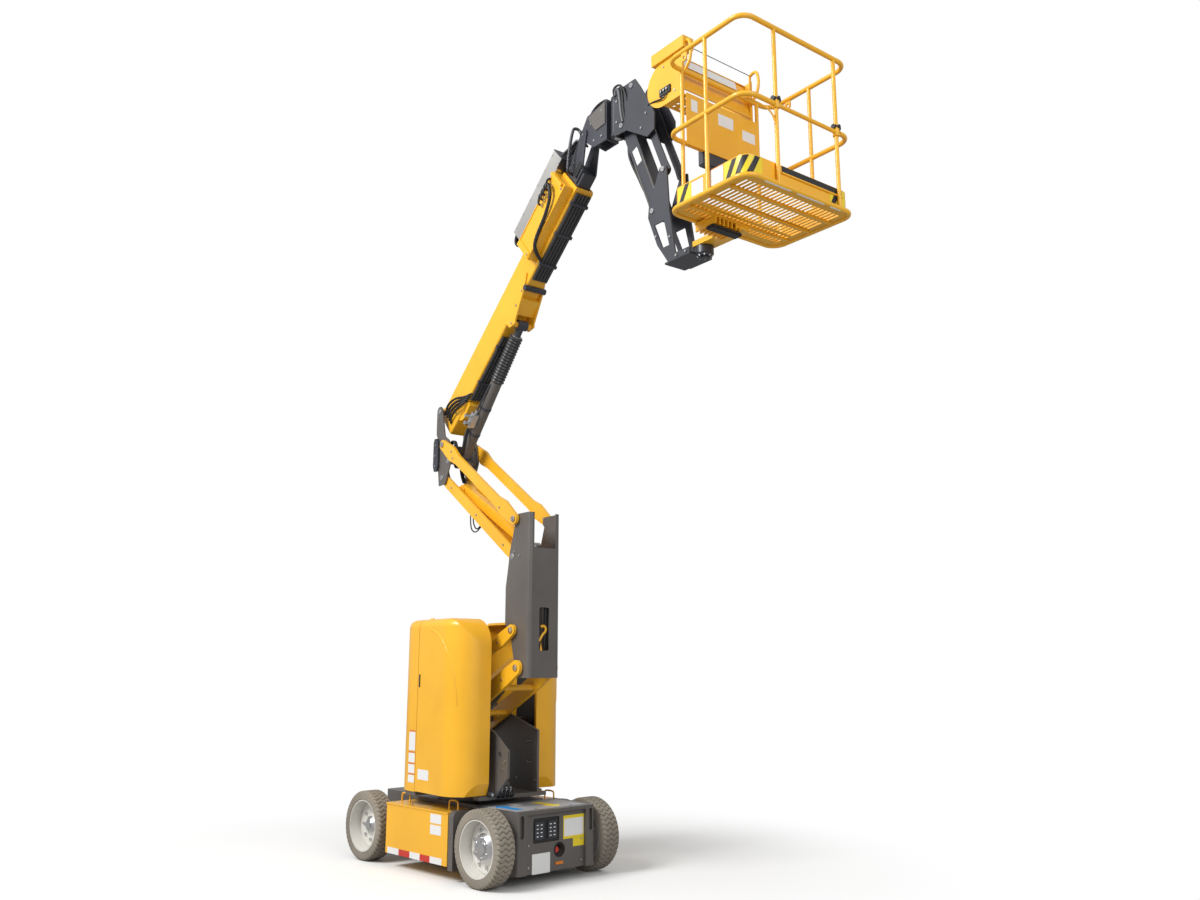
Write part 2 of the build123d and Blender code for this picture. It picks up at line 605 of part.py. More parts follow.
def riser():
    front = RISER_FRONT
    top, low = RISER_TOP, RISER_BOTTOM
    link_low, link_top = RISER_LINK_PIN, RISER_UPPER_LINK_PIN
    side = make_face(Polyline((front, low), (front, top), (front - 165, top),
                              (RISER_TOP_PIN[0] - 10, top - 40),
                              (link_top[0] - 40, link_top[1] + 40), (link_top[0] - 55, link_top[1] - 60),
                              (front - 350, link_top[1] - 250), (front - 350, link_low[1] + 60),
                              (link_low[0] - 50, link_low[1] - 60), (RISER_LOW_PIN[0] - 60, low + 60),
                              (RISER_LOW_PIN[0] - 30, low), close=True))
    side += spot(RISER_TOP_PIN, 48)
    half = RISER_HALF_WIDTH - RISER_WALL
    channel = block(front - RISER_DEPTH, front, -RISER_HALF_WIDTH, RISER_HALF_WIDTH, low, top)
    channel = fillet(channel.edges().filter_by(Axis.Z).group_by(Axis.X)[-1], RISER_CORNER)
    hollow = block(front - RISER_DEPTH - 1, front - RISER_WALL, -half, half, low - 1, top + 1)
    hollow = fillet(hollow.edges().filter_by(Axis.Z).group_by(Axis.X)[-1], RISER_CORNER - RISER_WALL)
    channel = (channel - hollow) & slab(side, -RISER_HALF_WIDTH, RISER_HALF_WIDTH)
    channel -= block(front - 2 * RISER_WALL, front + 1, -RISER_NOTCH_HALF, RISER_NOTCH_HALF,
                     top - RISER_NOTCH, top + 1)
    window = Pos(0, (RISER_WINDOW[0] + RISER_WINDOW[1]) / 2) * RectangleRounded(
        RISER_WINDOW_WIDTH, RISER_WINDOW[1] - RISER_WINDOW[0], 16)
    channel -= Pos(front - 2 * RISER_WALL, 0, 0) * extrude(Plane.YZ * window, 3 * RISER_WALL)
    reach = ARM_IN + ARM_PLATE + 6
    for point in (RISER_LOW_PIN, RISER_LINK_PIN, RISER_TOP_PIN):
        channel += pin_stubs(point, half, reach)
    return channel + pin_stubs(link_top, UPPER_LINK_IN - 4, half)


# Upper tower

def upper_arm():
    plate = strap(RISER_TOP_PIN, UPRIGHT_PIN, 46, UPPER_ARM_HEIGHT, PIN_BORE, 200, UPPER_ARM_PADDLE)
    return pair(plate, ARM_IN, ARM_PLATE)


def upper_link():
    plate = strap(RISER_UPPER_LINK_PIN, UPRIGHT_LINK_PIN, 42, UPPER_LINK_HEIGHT, PIN_BORE, 120)
    bars = pair(plate, UPPER_LINK_IN, UPPER_LINK_PLATE)
    half = UPPER_LINK_HEIGHT / 2
    web = block(200, UPPER_ARM_LENGTH - 160, -UPPER_LINK_IN, UPPER_LINK_IN, half - 10, half)
    return bars + on_line(RISER_UPPER_LINK_PIN, UPPER_DIRECTION) * web


def upright():
    link, pin, boom = UPRIGHT_LINK_PIN, UPRIGHT_PIN, BOOM_PIN
    side = make_face(Polyline((boom[0] - 50, boom[1]), (boom[0] + 50, boom[1]), (pin[0] - 20, pin[1] + 90),
                              (pin[0] + 60, pin[1] + 40), (pin[0] + 110, pin[1] - 160),
                              (link[0] + 70, link[1] - 60),
                              (link[0] - 50, link[1] - 70), (link[0] - 70, link[1] + 60),
                              (boom[0] - 20, pin[1] - 100), (boom[0] - 20, pin[1] + 80),
                              (boom[0] - 50, pin[1] + 130), close=True))
    side += spot(boom, 50)
    wall = RISER_WALL + 2
    inner = RISER_HALF_WIDTH - wall
    post = pair(side, inner, wall)
    post += block(boom[0] - 20, boom[0] - 5, -inner, inner, pin[1] - 90, pin[1] + 40)
    post += pin_stubs(pin, inner, ARM_IN + ARM_PLATE + 6)
    post += pin_stubs(link, UPPER_LINK_IN - 4, inner)
    post += pin_stubs(LIFT_BASE, 62, inner)
    return post + across(boom, PIN_RADIUS, -inner, inner)


# Main boom

def on_boom_frame(shape):
    return on_line(BOOM_PIN, BOOM_ANGLE) * shape


def main_boom():
    half = BOOM_WIDTH / 2
    low = BOOM_TOP - BOOM_HEIGHT
    tube = block(-70, BOOM_LENGTH, -half, half, low, BOOM_TOP)
    tube = fillet(tube.edges().filter_by(Axis.X), 18)
    wall = BOOM_WALL
    tube -= block(240, BOOM_LENGTH + 1, -half + wall, half - wall, low + wall, BOOM_TOP - wall)
    tube += across((0, 0), 50, -half - 6, half + 6)
    tube -= across((0, 0), PIN_BORE, -half - 10, half + 10)
    eye_s, eye_n = LIFT_EYE
    ear = make_face(Polyline((eye_s - 60, low + 60), (eye_s - 48, eye_n), (eye_s + 30, eye_n - 45),
                             (eye_s + 60, eye_n - 20), (eye_s + 330, low - 6), (eye_s + 440,
                                                                                low + 70), close=True))
    tube += pair(ear, half, 15)
    tube += block(eye_s + 80, eye_s + 240, -half, half, low - 50, low)
    tube += across((eye_s, eye_n), LIFT_PIN_RADIUS, -half - 15, half + 15)
    mid = BOOM_TOP - BOOM_HEIGHT / 2
    pads = block(BOOM_LENGTH - 110, BOOM_LENGTH - 10, -half + 1, half - 1, low + 1, BOOM_TOP - 1)
    across_half = FLY_WIDTH / 2 + PAD_GAP
    up_half = FLY_HEIGHT / 2 + PAD_GAP
    pads -= block(BOOM_LENGTH - 120, BOOM_LENGTH, -across_half, across_half, mid - up_half, mid + up_half)
    tube += pads
    return on_boom_frame(tube)


def hose_panel():
    """Side cover that carries the hose fittings, bolted to the near side of the boom."""
    half = BOOM_WIDTH / 2
    low = BOOM_TOP - BOOM_HEIGHT
    panel = block(BOOM_LENGTH - 760, BOOM_LENGTH - 30, -half - HOSE_PANEL_DEPTH, -half, low + 40,
                  BOOM_TOP + 14)
    return on_boom_frame(panel)


LIFT_LENGTH = hypot(on_boom(*LIFT_EYE)[0] - LIFT_BASE[0], on_boom(*LIFT_EYE)[1] - LIFT_BASE[1])
LIFT_ANGLE = degrees(atan2(on_boom(*LIFT_EYE)[1] - LIFT_BASE[1], on_boom(*LIFT_EYE)[0] - LIFT_BASE[0]))


def lift_cylinder():
    """Main lift cylinder: barrel from the upright, rod and bellows to the boom's ears."""
    barrel = bar((0, 0, 0), (LIFT_BARREL_LENGTH, 0, 0), LIFT_BARREL_RADIUS) + across((0, 0), 56, -56, 56)
    barrel -= across((0, 0), PIN_BORE, -60, 60)
    barrel -= bar((90, 0, 0), (LIFT_BARREL_LENGTH + 1, 0, 0), LIFT_ROD_RADIUS + ROD_CLEARANCE)
    rod = bar((LIFT_ROD_INSIDE, 0, 0), (LIFT_LENGTH, 0, 0), LIFT_ROD_RADIUS)
    rod += across((LIFT_LENGTH, 0), 44, -48, 48)
    rod -= across((LIFT_LENGTH, 0), LIFT_PIN_RADIUS + PIN_CLEARANCE, -60, 60)
    start, end = LIFT_BARREL_LENGTH - 60, LIFT_LENGTH - 110
    bellows = bar((start, 0, 0), (end, 0, 0), BELLOWS_RADIUS)
    bellows -= bar((start - 1, 0, 0), (end - 12, 0, 0), LIFT_BARREL_RADIUS + BELLOWS_GAP)
    bellows -= bar((end - 20, 0, 0), (end + 1, 0, 0), LIFT_ROD_RADIUS + ROD_CLEARANCE)
    place = on_line(LIFT_BASE, LIFT_ANGLE)
    return place * barrel, place * rod, place * bellows


def fly_boom():
    half = FLY_WIDTH / 2
    mid = BOOM_TOP - BOOM_HEIGHT / 2
    low, high = mid - FLY_HEIGHT / 2, mid + FLY_HEIGHT / 2
    tube = block(FLY_START, FLY_LENGTH, -half, half, low, high)
    tube = fillet(tube.edges().filter_by(Axis.X), 14)
    start = BOOM_LENGTH + 10
    tube -= block(FLY_START - 1, FLY_LENGTH - 30, -half + FLY_WALL, half - FLY_WALL, low + FLY_WALL,
                  high - FLY_WALL)
    head = outline([(start, low + 30), (FLY_LENGTH + 10, low + 30), (NOSE_PIN[0] + 20, NOSE_PIN[1] - 40),
                    (NOSE_PIN[0] - 40, NOSE_PIN[1] + 30), (start, high - 10)])
    head += spot(NOSE_PIN, 48)
    tube += pair(head, half, 12)
    return on_boom_frame(tube + across(NOSE_PIN, PIN_RADIUS, -half - 12, half + 12))


def hose_tray():
    """Folded tray over the boom that carries the hose chain and runs out with the fly."""
    low = BOOM_TOP + 20
    start, wall, half = BOOM_LENGTH - TRAY_OVERLAP, TRAY_WALL, FLY_WIDTH / 2
    tray = block(start, FLY_LENGTH - 40, -TRAY_NEAR, TRAY_FAR, low, low + TRAY_HEIGHT)
    tray -= block(start - 1, FLY_LENGTH - 39, wall - TRAY_NEAR, TRAY_FAR - wall, low + wall,
                  low + TRAY_HEIGHT - wall)
    foot = BOOM_TOP - BOOM_HEIGHT / 2 + FLY_HEIGHT / 2
    end = block(FLY_LENGTH - 40, FLY_LENGTH - 28, -TRAY_NEAR, TRAY_FAR, low, low + TRAY_HEIGHT)
    end += block(FLY_LENGTH - 40, FLY_LENGTH - 28, -half, TRAY_FAR, foot, low + 1)
    return on_boom_frame(tray + end)


# Jib

def nose():
    """Level knuckle at the end of the fly with the jib's swing post."""
    x, z = NOSE_PIVOT
    half = FLY_WIDTH / 2 - 1
    cheek = make_face(Polyline((x - 40, z + 40), (x + 40, z + 150), (SWING_X - 70, z + 190),
                               (SWING_X - 70, z - 165),
                               (x + 130, z - 165), (x - 40, z - 30), close=True))
    cheek -= spot(NOSE_PIVOT, PIN_BORE)
    body = pair(cheek, half - 14, 14)
    body += block(SWING_X - 90, SWING_X - 70, -half, half, z - 165, z + 190)
    body += block(SWING_X - 70, SWING_X, -20, 20, z - 140, z + 160)
    post = upright_bar(SWING_X, 0, SWING_BOSS_RADIUS, z - 140, z + 160)
    return body + post - upright_bar(SWING_X, 0, SWING_PIN_RADIUS + PIN_CLEARANCE, z - 150, z + 170)


def jib_base():
    """Swinging base: lugs over and under the swing post and side plates for the jib pivots."""
    z = NOSE_PIVOT[1]
    near = SWING_X + 84
    lugs = None
    for z0, z1 in ((z - 164, z - 140.3), (z + 160.3, z + 184)):
        lug = block(SWING_X, near + 4, -58, 58, z0, z1) + upright_bar(SWING_X, 0, 58, z0, z1)
        lugs = lug if lugs is None else lugs + lug
    lugs += upright_bar(SWING_X, 0, SWING_PIN_RADIUS, z - 164, z + 184)
    x, top = JIB_PIN[0], JIB_LINK_PIN[1]
    side = make_face(Polyline((near, JIB_PIN[1] - 50), (x + 60, JIB_PIN[1] - 64),
                              (x + 310, JIB_PIN[1] - 226),
                              (x + 395, JIB_PIN[1] - 196), (x + 398, JIB_PIN[1] - 62), (x + 330,
                                                                                        JIB_PIN[1] + 70),
                              (x + 230, top - 50), (x + 170, top + 40), (near, top + 40), close=True))
    base = lugs + pair(side, JIB_PLATE_IN, JIB_PLATE)
    base += block(near, near + 14, -JIB_PLATE_IN, JIB_PLATE_IN, JIB_PIN[1] - 50, top + 40)
    base += across(JIB_PIN, JIB_PIN_RADIUS, -JIB_PLATE_IN, JIB_PLATE_IN)
    return base + pin_stubs(JIB_LINK_PIN, JIB_LINK_IN - 4, JIB_PLATE_IN, JIB_PIN_RADIUS)


def jib_arm():
    bore = JIB_PIN_RADIUS + PIN_CLEARANCE
    plate = strap(JIB_PIN, JIB_END, 52, JIB_ARM_HEIGHT, bore, 110)
    return slab(plate, -JIB_ARM_HALF, JIB_ARM_HALF)


def jib_link():
    bore = JIB_PIN_RADIUS + PIN_CLEARANCE
    plate = strap(JIB_LINK_PIN, JIB_LINK_END, 38, JIB_LINK_HEIGHT, bore, 80)
    return pair(plate, JIB_LINK_IN, JIB_LINK_PLATE)


def platform_support():
    """Dark end frame of the jib that carries the rotator and the basket."""
    x, z = JIB_END
    top = ROTATOR[1] - 6
    low = ROTATOR[1] - 56
    side = make_face(Polyline((x - 50, z - 40), (x - 40, z + 40),
                              (JIB_LINK_END[0] - 38, JIB_LINK_END[1] + 26),
                              (JIB_LINK_END[0] + 38, JIB_LINK_END[1] + 12), (x + 190, z - 70),
                              (x + 250, top), (ROTATOR[0] - 40, top), (ROTATOR[0] - 40, low),
                              (x + 170, low), (x + 50, z - 290), close=True))
    side -= outline([(x + 20, z - 120), (x + 130, z - 120), (x + 184, z - 330), (x + 110, z - 330)])
    frame = pair(side, JIB_PLATE_IN, JIB_PLATE)
    frame += block(x + 120, ROTATOR[0] - 40, -JIB_PLATE_IN, JIB_PLATE_IN, low, low + 14)
    frame += upright_bar(ROTATOR[0], 0, ROTATOR_RADIUS, low, ROTATOR[1] - SLEW_GAP)
    frame += across(JIB_END, JIB_PIN_RADIUS, -JIB_PLATE_IN, JIB_PLATE_IN)
    return frame + pin_stubs(JIB_LINK_END, JIB_LINK_IN - 4, JIB_PLATE_IN, JIB_PIN_RADIUS)


# Basket

def rounded_plan(inset):
    """Rounded rectangle of the basket, seen from above."""
    plan = RectangleRounded(BASKET_DEPTH - 2 * inset, BASKET_LENGTH - 2 * inset, BASKET_CORNER - inset)
    return Pos(BASKET_REAR + BASKET_DEPTH / 2, 0) * plan


def ring_tube(z):
    path = Pos(0, 0, z) * rounded_plan(RAIL_RADIUS).wire()
    return sweep(Plane(origin=path @ 0, z_dir=path % 0) * Circle(RAIL_RADIUS), path=path)


def basket_rails():
    """Floor ring, top rail, mid rail with its entry gap, posts and the rotator bracket."""
    top = FLOOR_Z + BASKET_RAIL_HEIGHT
    mid = FLOOR_Z + BASKET_MID_RAIL
    gap = block(BASKET_REAR + BASKET_DEPTH / 2, BASKET_REAR + BASKET_DEPTH + 1,
                ENTRY_POSTS[0] - ENTRY_CLEAR,
                ENTRY_POSTS[1] + ENTRY_CLEAR, mid - TOE_BOARD, mid + TOE_BOARD)
    rails = ring_tube(FLOOR_Z) + ring_tube(top) + (ring_tube(mid) - gap)
    for x, y in POSTS:
        rails += upright_bar(x, y, POST_RADIUS, FLOOR_Z, top)
    bracket = block(ROTATOR[0] - 50, BASKET_REAR + 200, -70, 70, ROTATOR[1], ROTATOR[1] + BRACKET_HEIGHT)
    bracket += upright_bar(ROTATOR[0], 0, ROTATOR_RADIUS, ROTATOR[1], ROTATOR[1] + BRACKET_HEIGHT)
    bracket += block(BASKET_REAR, BASKET_REAR + 2 * RAIL_RADIUS, -70, 70, ROTATOR[1], FLOOR_Z)
    anchors = spot(ANCHOR, 26) + Pos(ANCHOR[0], ANCHOR[1] + 30) * Rectangle(52, 60)
    anchors -= spot(ANCHOR, ANCHOR_RADIUS)
    return rails + bracket + pair(anchors, BASKET_SIDE - ANCHOR_PLATE / 2, ANCHOR_PLATE)


def toe_board():
    outer = rounded_plan(TOE_INSET)
    inner = rounded_plan(TOE_INSET + SHEET)
    return Pos(0, 0, FLOOR_Z) * extrude(outer - inner, TOE_BOARD)


def basket_floor():
    plan = rounded_plan(TOE_INSET + SHEET + BEAD_GAP)
    plate = Pos(0, 0, FLOOR_Z - SHEET / 2) * extrude(plan, SHEET)
    pitch_x = (BASKET_DEPTH - 160) / FLOOR_SLOTS_X
    pitch_y = (BASKET_LENGTH - 160) / FLOOR_SLOTS_Y
    slots = GridLocations(pitch_x, pitch_y, round(FLOOR_SLOTS_X), round(FLOOR_SLOTS_Y))
    cuts = Sketch() + slots * Rectangle(pitch_x * 0.84, pitch_y * 0.6)
    middle = Pos(BASKET_REAR + BASKET_DEPTH / 2, 0, FLOOR_Z - SHEET)
    return plate - middle * extrude(cuts, 2 * SHEET)


def rear_panel():
    x = BASKET_REAR + TOE_INSET
    return block(x, x + SHEET, -PANEL_HALF, PANEL_HALF, FLOOR_Z + PANEL_LOW, FLOOR_Z + PANEL_HIGH)


def console():
    """Control stand behind the rear top rail: round cheeks, perforated shelf, sloping front and hood."""
    front = BASKET_REAR - BEAD_GAP
    rear = front - CONSOLE_DEPTH
    low, high = FLOOR_Z + CONSOLE_LOW, FLOOR_Z + CONSOLE_TOP
    cheek = outline([(front, low), (front, high), (rear, high), (rear, low)])
    cheek = fillet(cheek.vertices().sort_by(Axis.X)[:2], (high - low) / 2 - 1)
    body = pair(cheek, CONSOLE_HALF - SHEET, SHEET)
    shelf_rear = rear + (high - low) / 2
    shelf = block(shelf_rear, front, -CONSOLE_HALF, CONSOLE_HALF, low, low + SHEET)
    holes = Pos((shelf_rear + front) / 2, 0, low - 1) * extrude(
        Sketch() + GridLocations(44, 62, 4, 10) * Circle(13), SHEET + 2)
    face = outline([(front - 8, low + 40), (front, low + 40), (front - 72, high - 20),
                    (front - 80, high - 20)])
    body += (shelf - holes) + slab(face, -CONSOLE_HALF, CONSOLE_HALF)
    body += block(shelf_rear, front - 72, -CONSOLE_HALF, CONSOLE_HALF, high - SHEET, high)
    hood = block(rear + 70, front + 34, -CONSOLE_HALF - 20, -CONSOLE_HALF + 80, high, high + CONSOLE_HOOD)
    hood += block(rear + 150, front - 90, -CONSOLE_HALF + 6, -CONSOLE_HALF + 60, high - 10, high)
    return body + hood


def entry_bar():
    """Lift-up bar across the entry, with sleeves that slide on the two front posts."""
    z = FLOOR_Z + BASKET_MID_RAIL
    x = POSTS[0][0]
    rail = bar((x, ENTRY_POSTS[0], z), (x, ENTRY_POSTS[1], z), POST_RADIUS)
    for y in ENTRY_POSTS:
        rail += upright_bar(x, y, POST_RADIUS + 9, z - 30, z + 30)
    for y in ENTRY_POSTS:
        rail -= upright_bar(x, y, POST_RADIUS + BEAD_GAP, z - 40, z + 40)
    return rail


def export_upper():
    export("lower_arm", lower_arm())
    export("lower_link", lower_link())
    barrel, rod = stage_cylinder(LOWER_CYLINDER_BASE, LOWER_CYLINDER_EYE, LOWER_BARREL_LENGTH, ARM_IN)
    export("lower_cylinder_barrel", barrel)
    export("lower_cylinder_rod", rod)
    export("riser", riser())
    export("upper_arm", upper_arm())
    export("upper_link", upper_link())
    barrel, rod = stage_cylinder(UPPER_CYLINDER_BASE, UPPER_CYLINDER_EYE, UPPER_BARREL_LENGTH,
                                 UPPER_LINK_IN)
    export("upper_cylinder_barrel", barrel)
    export("upper_cylinder_rod", rod)
    export("upright", upright())
    export("main_boom", main_boom())
    export("hose_panel", hose_panel())
    barrel, rod, bellows = lift_cylinder()
    export("lift_cylinder_barrel", barrel)
    export("lift_cylinder_rod", rod)
    export("lift_bellows", bellows)
    export("fly_boom", fly_boom())
    export("hose_tray", hose_tray())
    export("nose", nose())
    export("jib_base", jib_base())
    export("jib_arm", jib_arm())
    export("jib_link", jib_link())
    export("platform_support", platform_support())
    export("basket_rails", basket_rails())
    export("toe_board", toe_board())
    export("basket_floor", basket_floor())
    export("rear_panel", rear_panel())
    export("console", console())
    export("entry_bar", entry_bar())


export_wheels()
export_chassis()
export_turntable()
export_upper()
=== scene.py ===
"""Looks of the articulating boom lift: paints, tread, hoses, fittings, blank plates and stripes.

Lengths are in metres. A piece is drawn in the frame of the member that carries it (X along the
member, Y across it to the left, Z square to both) and rides on its body.
"""
import json
from math import cos, pi, radians, sin, sqrt

import bmesh
import bpy
from mathutils import Matrix, Vector


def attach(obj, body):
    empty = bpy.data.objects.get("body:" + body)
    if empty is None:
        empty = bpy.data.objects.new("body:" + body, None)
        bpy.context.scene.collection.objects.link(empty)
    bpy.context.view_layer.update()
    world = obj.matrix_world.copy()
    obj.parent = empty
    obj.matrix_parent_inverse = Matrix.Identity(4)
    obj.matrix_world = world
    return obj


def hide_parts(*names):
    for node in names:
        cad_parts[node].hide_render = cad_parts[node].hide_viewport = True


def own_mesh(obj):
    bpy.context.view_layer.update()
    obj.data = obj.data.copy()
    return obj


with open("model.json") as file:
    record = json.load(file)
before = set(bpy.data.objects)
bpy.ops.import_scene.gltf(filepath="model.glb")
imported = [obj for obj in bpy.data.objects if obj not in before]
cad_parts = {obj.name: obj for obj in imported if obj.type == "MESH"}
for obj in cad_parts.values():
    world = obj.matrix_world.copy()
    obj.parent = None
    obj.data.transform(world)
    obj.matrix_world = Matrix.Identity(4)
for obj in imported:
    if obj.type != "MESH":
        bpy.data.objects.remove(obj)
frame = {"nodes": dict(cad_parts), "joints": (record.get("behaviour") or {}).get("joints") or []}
scene = bpy.context.scene
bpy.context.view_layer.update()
nodes = frame["nodes"]
joints = {joint["name"]: joint for joint in frame["joints"]}


def pin(name):
    return Vector(joints[name]["pos_m"])


def axis(name):
    return Vector(joints[name]["axis"])


# Frames of the members
SIDE = -axis("lower_arm")
AHEAD = SIDE.cross(Vector((0, 0, 1)))


def placed(origin, along, side=SIDE):
    """Frame with X along a member and Y across it."""
    along = along.normalized()
    turn = Matrix((along, side, along.cross(side))).transposed().to_4x4()
    return Matrix.Translation(origin) @ turn


CHASSIS = Matrix.Identity(4)
TOWER = placed(Vector((0, 0, 0)), AHEAD)
BOOM = placed(pin("main_boom"), axis("telescope"))
LIFT = placed(pin("lift_cylinder"), -axis("lift_cylinder"))
LOWER = placed(pin("lower_arm"), pin("riser") - pin("lower_arm"))
LOWER_LINK = placed(pin("lower_link"), pin("riser") - pin("lower_arm"))
UPPER = placed(pin("upright"), pin("upper_arm") - pin("upright"))
UPPER_LINK = placed(pin("upper_link") + pin("upright") - pin("upper_arm"), pin("upper_arm") - pin("upright"))
NOSE = placed(pin("nose_level"), AHEAD)
SWING = placed(pin("jib_swing"), AHEAD)
JIB = placed(pin("jib"), pin("platform_level") - pin("jib"))
BASKET = placed(pin("platform_rotate"), AHEAD)
CYLINDER = placed(pin("upper_cylinder"), axis("upper_cylinder"))
LOWER_CYLINDER = placed(pin("lower_cylinder"), axis("lower_cylinder"))
PLACES = {"lower_arm": LOWER, "lower_link": LOWER_LINK, "upper_arm": UPPER, "upper_link": UPPER_LINK,
          "lift_rod": LIFT, "lift_barrel": LIFT, "main_boom": BOOM, "fly": BOOM, "nose": NOSE, "jib_base": SWING,
          "jib_arm": JIB, "platform_support": NOSE, "basket": BASKET, "entry_bar": BASKET}
PLACES.update(dict.fromkeys(("turntable", "hood_left", "hood_right", "riser", "upright"), TOWER))


# Looks: colour, roughness, metallic, coat, the record's slot, mottle share, grain scale and grain depth
LOOKS = {
    "yellow": ((0.92, 0.47, 0.018), 0.36, 0, 0.35, "yellow_paint", 0.07, 260, 0.04),
    "grey": ((0.118, 0.106, 0.097), 0.46, 0, 0.15, "grey_paint", 0.16, 220, 0.06),
    "charcoal": ((0.036, 0.039, 0.051), 0.44, 0, 0.2, "charcoal_paint", 0.2, 220, 0.06),
    "black": ((0.016, 0.016, 0.017), 0.52, 0, 0, "black_rubber", 0.25, 300, 0.08),
    "sleeve": ((0.034, 0.034, 0.037), 0.36, 0, 0.1, "black_rubber", 0.25, 300, 0.05),
    "hose": ((0.13, 0.135, 0.145), 0.45, 0, 0, "black_rubber", 0.2, 300, 0.08),
    "rubber": ((0.285, 0.25, 0.2), 0.86, 0, 0, "tyre_rubber", 0.22, 140, 0.25),
    "rim": ((0.72, 0.7, 0.65), 0.42, 0, 0.15, "wheel_paint", 0.08, 240, 0.05),
    "silver": ((0.6, 0.6, 0.61), 0.32, 1.0, 0, "rod_steel", 0.12, 180, 0.06),
    "chrome": ((0.8, 0.8, 0.81), 0.14, 1.0, 0, "rod_steel", 0.04, 120, 0.01),
    "aluminium": ((0.6, 0.59, 0.565), 0.42, 1.0, 0, "tray_aluminium", 0.12, 90, 0.06),
    "white": ((0.83, 0.83, 0.82), 0.42, 0, 0.1, "wheel_paint", 0.05, 200, 0.02),
    "red": ((0.6, 0.035, 0.02), 0.4, 0, 0.1, "yellow_paint", 0.1, 200, 0.02),
    "amber": ((0.75, 0.22, 0.02), 0.4, 0, 0.1, "yellow_paint", 0.1, 200, 0.02),
    "blue": ((0.02, 0.27, 0.66), 0.45, 0, 0, "grey_paint", 0.1, 200, 0.02),
    "lemon": ((0.86, 0.66, 0.02), 0.4, 0, 0.1, "yellow_paint", 0.06, 200, 0.02),
    "deck": ((0.36, 0.36, 0.37), 0.5, 0, 0, "grey_paint", 0.14, 160, 0.12),
    "grille": ((0.84, 0.43, 0.02), 0.46, 0, 0.15, "floor_steel", 0.1, 200, 0.06),
}

CLOUD_SCALE, CLOUD_DETAIL, GRAIN_DETAIL = 2.6, 6, 3
MOTTLE_STOPS, MOTTLE_LIFT = (0.3, 0.7), 0.6
GLOSS_BELOW, GLOSS_ABOVE, GLOSS_LEAST = 0.06, 0.08, 0.05
# The first share darkens the tyre's grooves: painted shade in the tread's recesses
GROOVE_PAINTED_SHADE, GRAIN_HEIGHT, COAT_ROUGHNESS = 0.42, 0.002, 0.15


def add_node(tree, kind, values=None, **settings):
    """New shader node with its settings and the values of its inputs."""
    node = tree.nodes.new(f"ShaderNode{kind}")
    for name, value in settings.items():
        setattr(node, name, value)
    for name, value in (values or {}).items():
        node.inputs[name].default_value = value
    return node


def wire(tree, *links):
    """Links between nodes, each given as source, output, target and input."""
    for source, output, target, entry in links:
        tree.links.new(source.outputs[output], target.inputs[entry])


def shaded(colour, share):
    """A darker or lighter share of a colour."""
    return (*[min(1.0, c * share) for c in colour], 1)


def look_material(name):
    """Paint, rubber or metal with soft mottling in colour and gloss, a fine grain and painted shade in grooves that a
    mesh marks.
    """
    colour, roughness, metallic, coat, _, mottle, grain_scale, grain_depth = LOOKS[name]
    material = bpy.data.materials.new(name)
    material.use_nodes = True
    tree = material.node_tree
    shader = tree.nodes["Principled BSDF"]
    shader.inputs["Metallic"].default_value = metallic
    shader.inputs["Coat Weight"].default_value = coat
    shader.inputs["Coat Roughness"].default_value = COAT_ROUGHNESS
    place = add_node(tree, "TexCoord")
    cloud = add_node(tree, "TexNoise", {"Scale": CLOUD_SCALE, "Detail": CLOUD_DETAIL})
    ramp = add_node(tree, "ValToRGB")
    shares = (1 - mottle, 1 + MOTTLE_LIFT * mottle)
    for stop, position, share in zip(ramp.color_ramp.elements, MOTTLE_STOPS, shares):
        stop.position = position
        stop.color = shaded(colour, share)
    # Where the mesh marks grooves the colour darkens: painted shade in the tread's recesses
    groove = add_node(tree, "Attribute", attribute_name="groove")
    shade = add_node(tree, "Mix", {"B": shaded(colour, GROOVE_PAINTED_SHADE)}, data_type="RGBA")
    gloss = add_node(tree, "MapRange", {"To Min": max(GLOSS_LEAST, roughness - GLOSS_BELOW),
                                                  "To Max": min(1.0, roughness + GLOSS_ABOVE)})
    grain = add_node(tree, "TexNoise", {"Scale": grain_scale, "Detail": GRAIN_DETAIL})
    bump = add_node(tree, "Bump", {"Strength": grain_depth, "Distance": GRAIN_HEIGHT})
    wire(tree, (place, "Object", cloud, "Vector"), (cloud, "Fac", ramp, "Fac"), (groove, "Fac", shade, "Factor"),
         (ramp, "Color", shade, "A"), (shade, "Result", shader, "Base Color"), (cloud, "Fac", gloss, "Value"),
         (gloss, "Result", shader, "Roughness"), (place, "Object", grain, "Vector"), (grain, "Fac", bump, "Height"),
         (bump, "Normal", shader, "Normal"))
    return material


MATERIALS = {name: look_material(name) for name in LOOKS}

# How the names of nodes start, by look; all others are yellow
NODE_LOOKS = {
    "grey": ("front_cover", "chassis_frame", "turntable", "riser", "upright", "slew", "lower_cylinder_barrel",
             "lift_cylinder_barrel", "counterweight"),
    "charcoal": ("fly_boom", "nose", "jib", "platform_support", "knuckle", "drive_unit"),
    "chrome": ("lower_cylinder_rod", "upper_cylinder_rod", "lift_cylinder_rod"),
    "black": ("lift_bellows",),
    "aluminium": ("hose_tray",),
    "grille": ("basket_floor",),
    "rim": ("rim",),
    "rubber": ("tyre",),
}
for name, node in nodes.items():
    look = next((look for look, starts in NODE_LOOKS.items() if name.startswith(starts)), "yellow")
    node.data.materials.clear()
    node.data.materials.append(MATERIALS[look])


# Pieces

SHARP_ANGLE, HEX = 32, 6


def around(count, shift=0.0):
    """Angles of evenly spaced places on a circle."""
    return [2 * pi * (i + shift) / count for i in range(count)]


def finish_piece(piece, look, body):
    piece.data.materials.append(MATERIALS[look])
    scene.collection.objects.link(piece)
    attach(piece, body)
    return piece


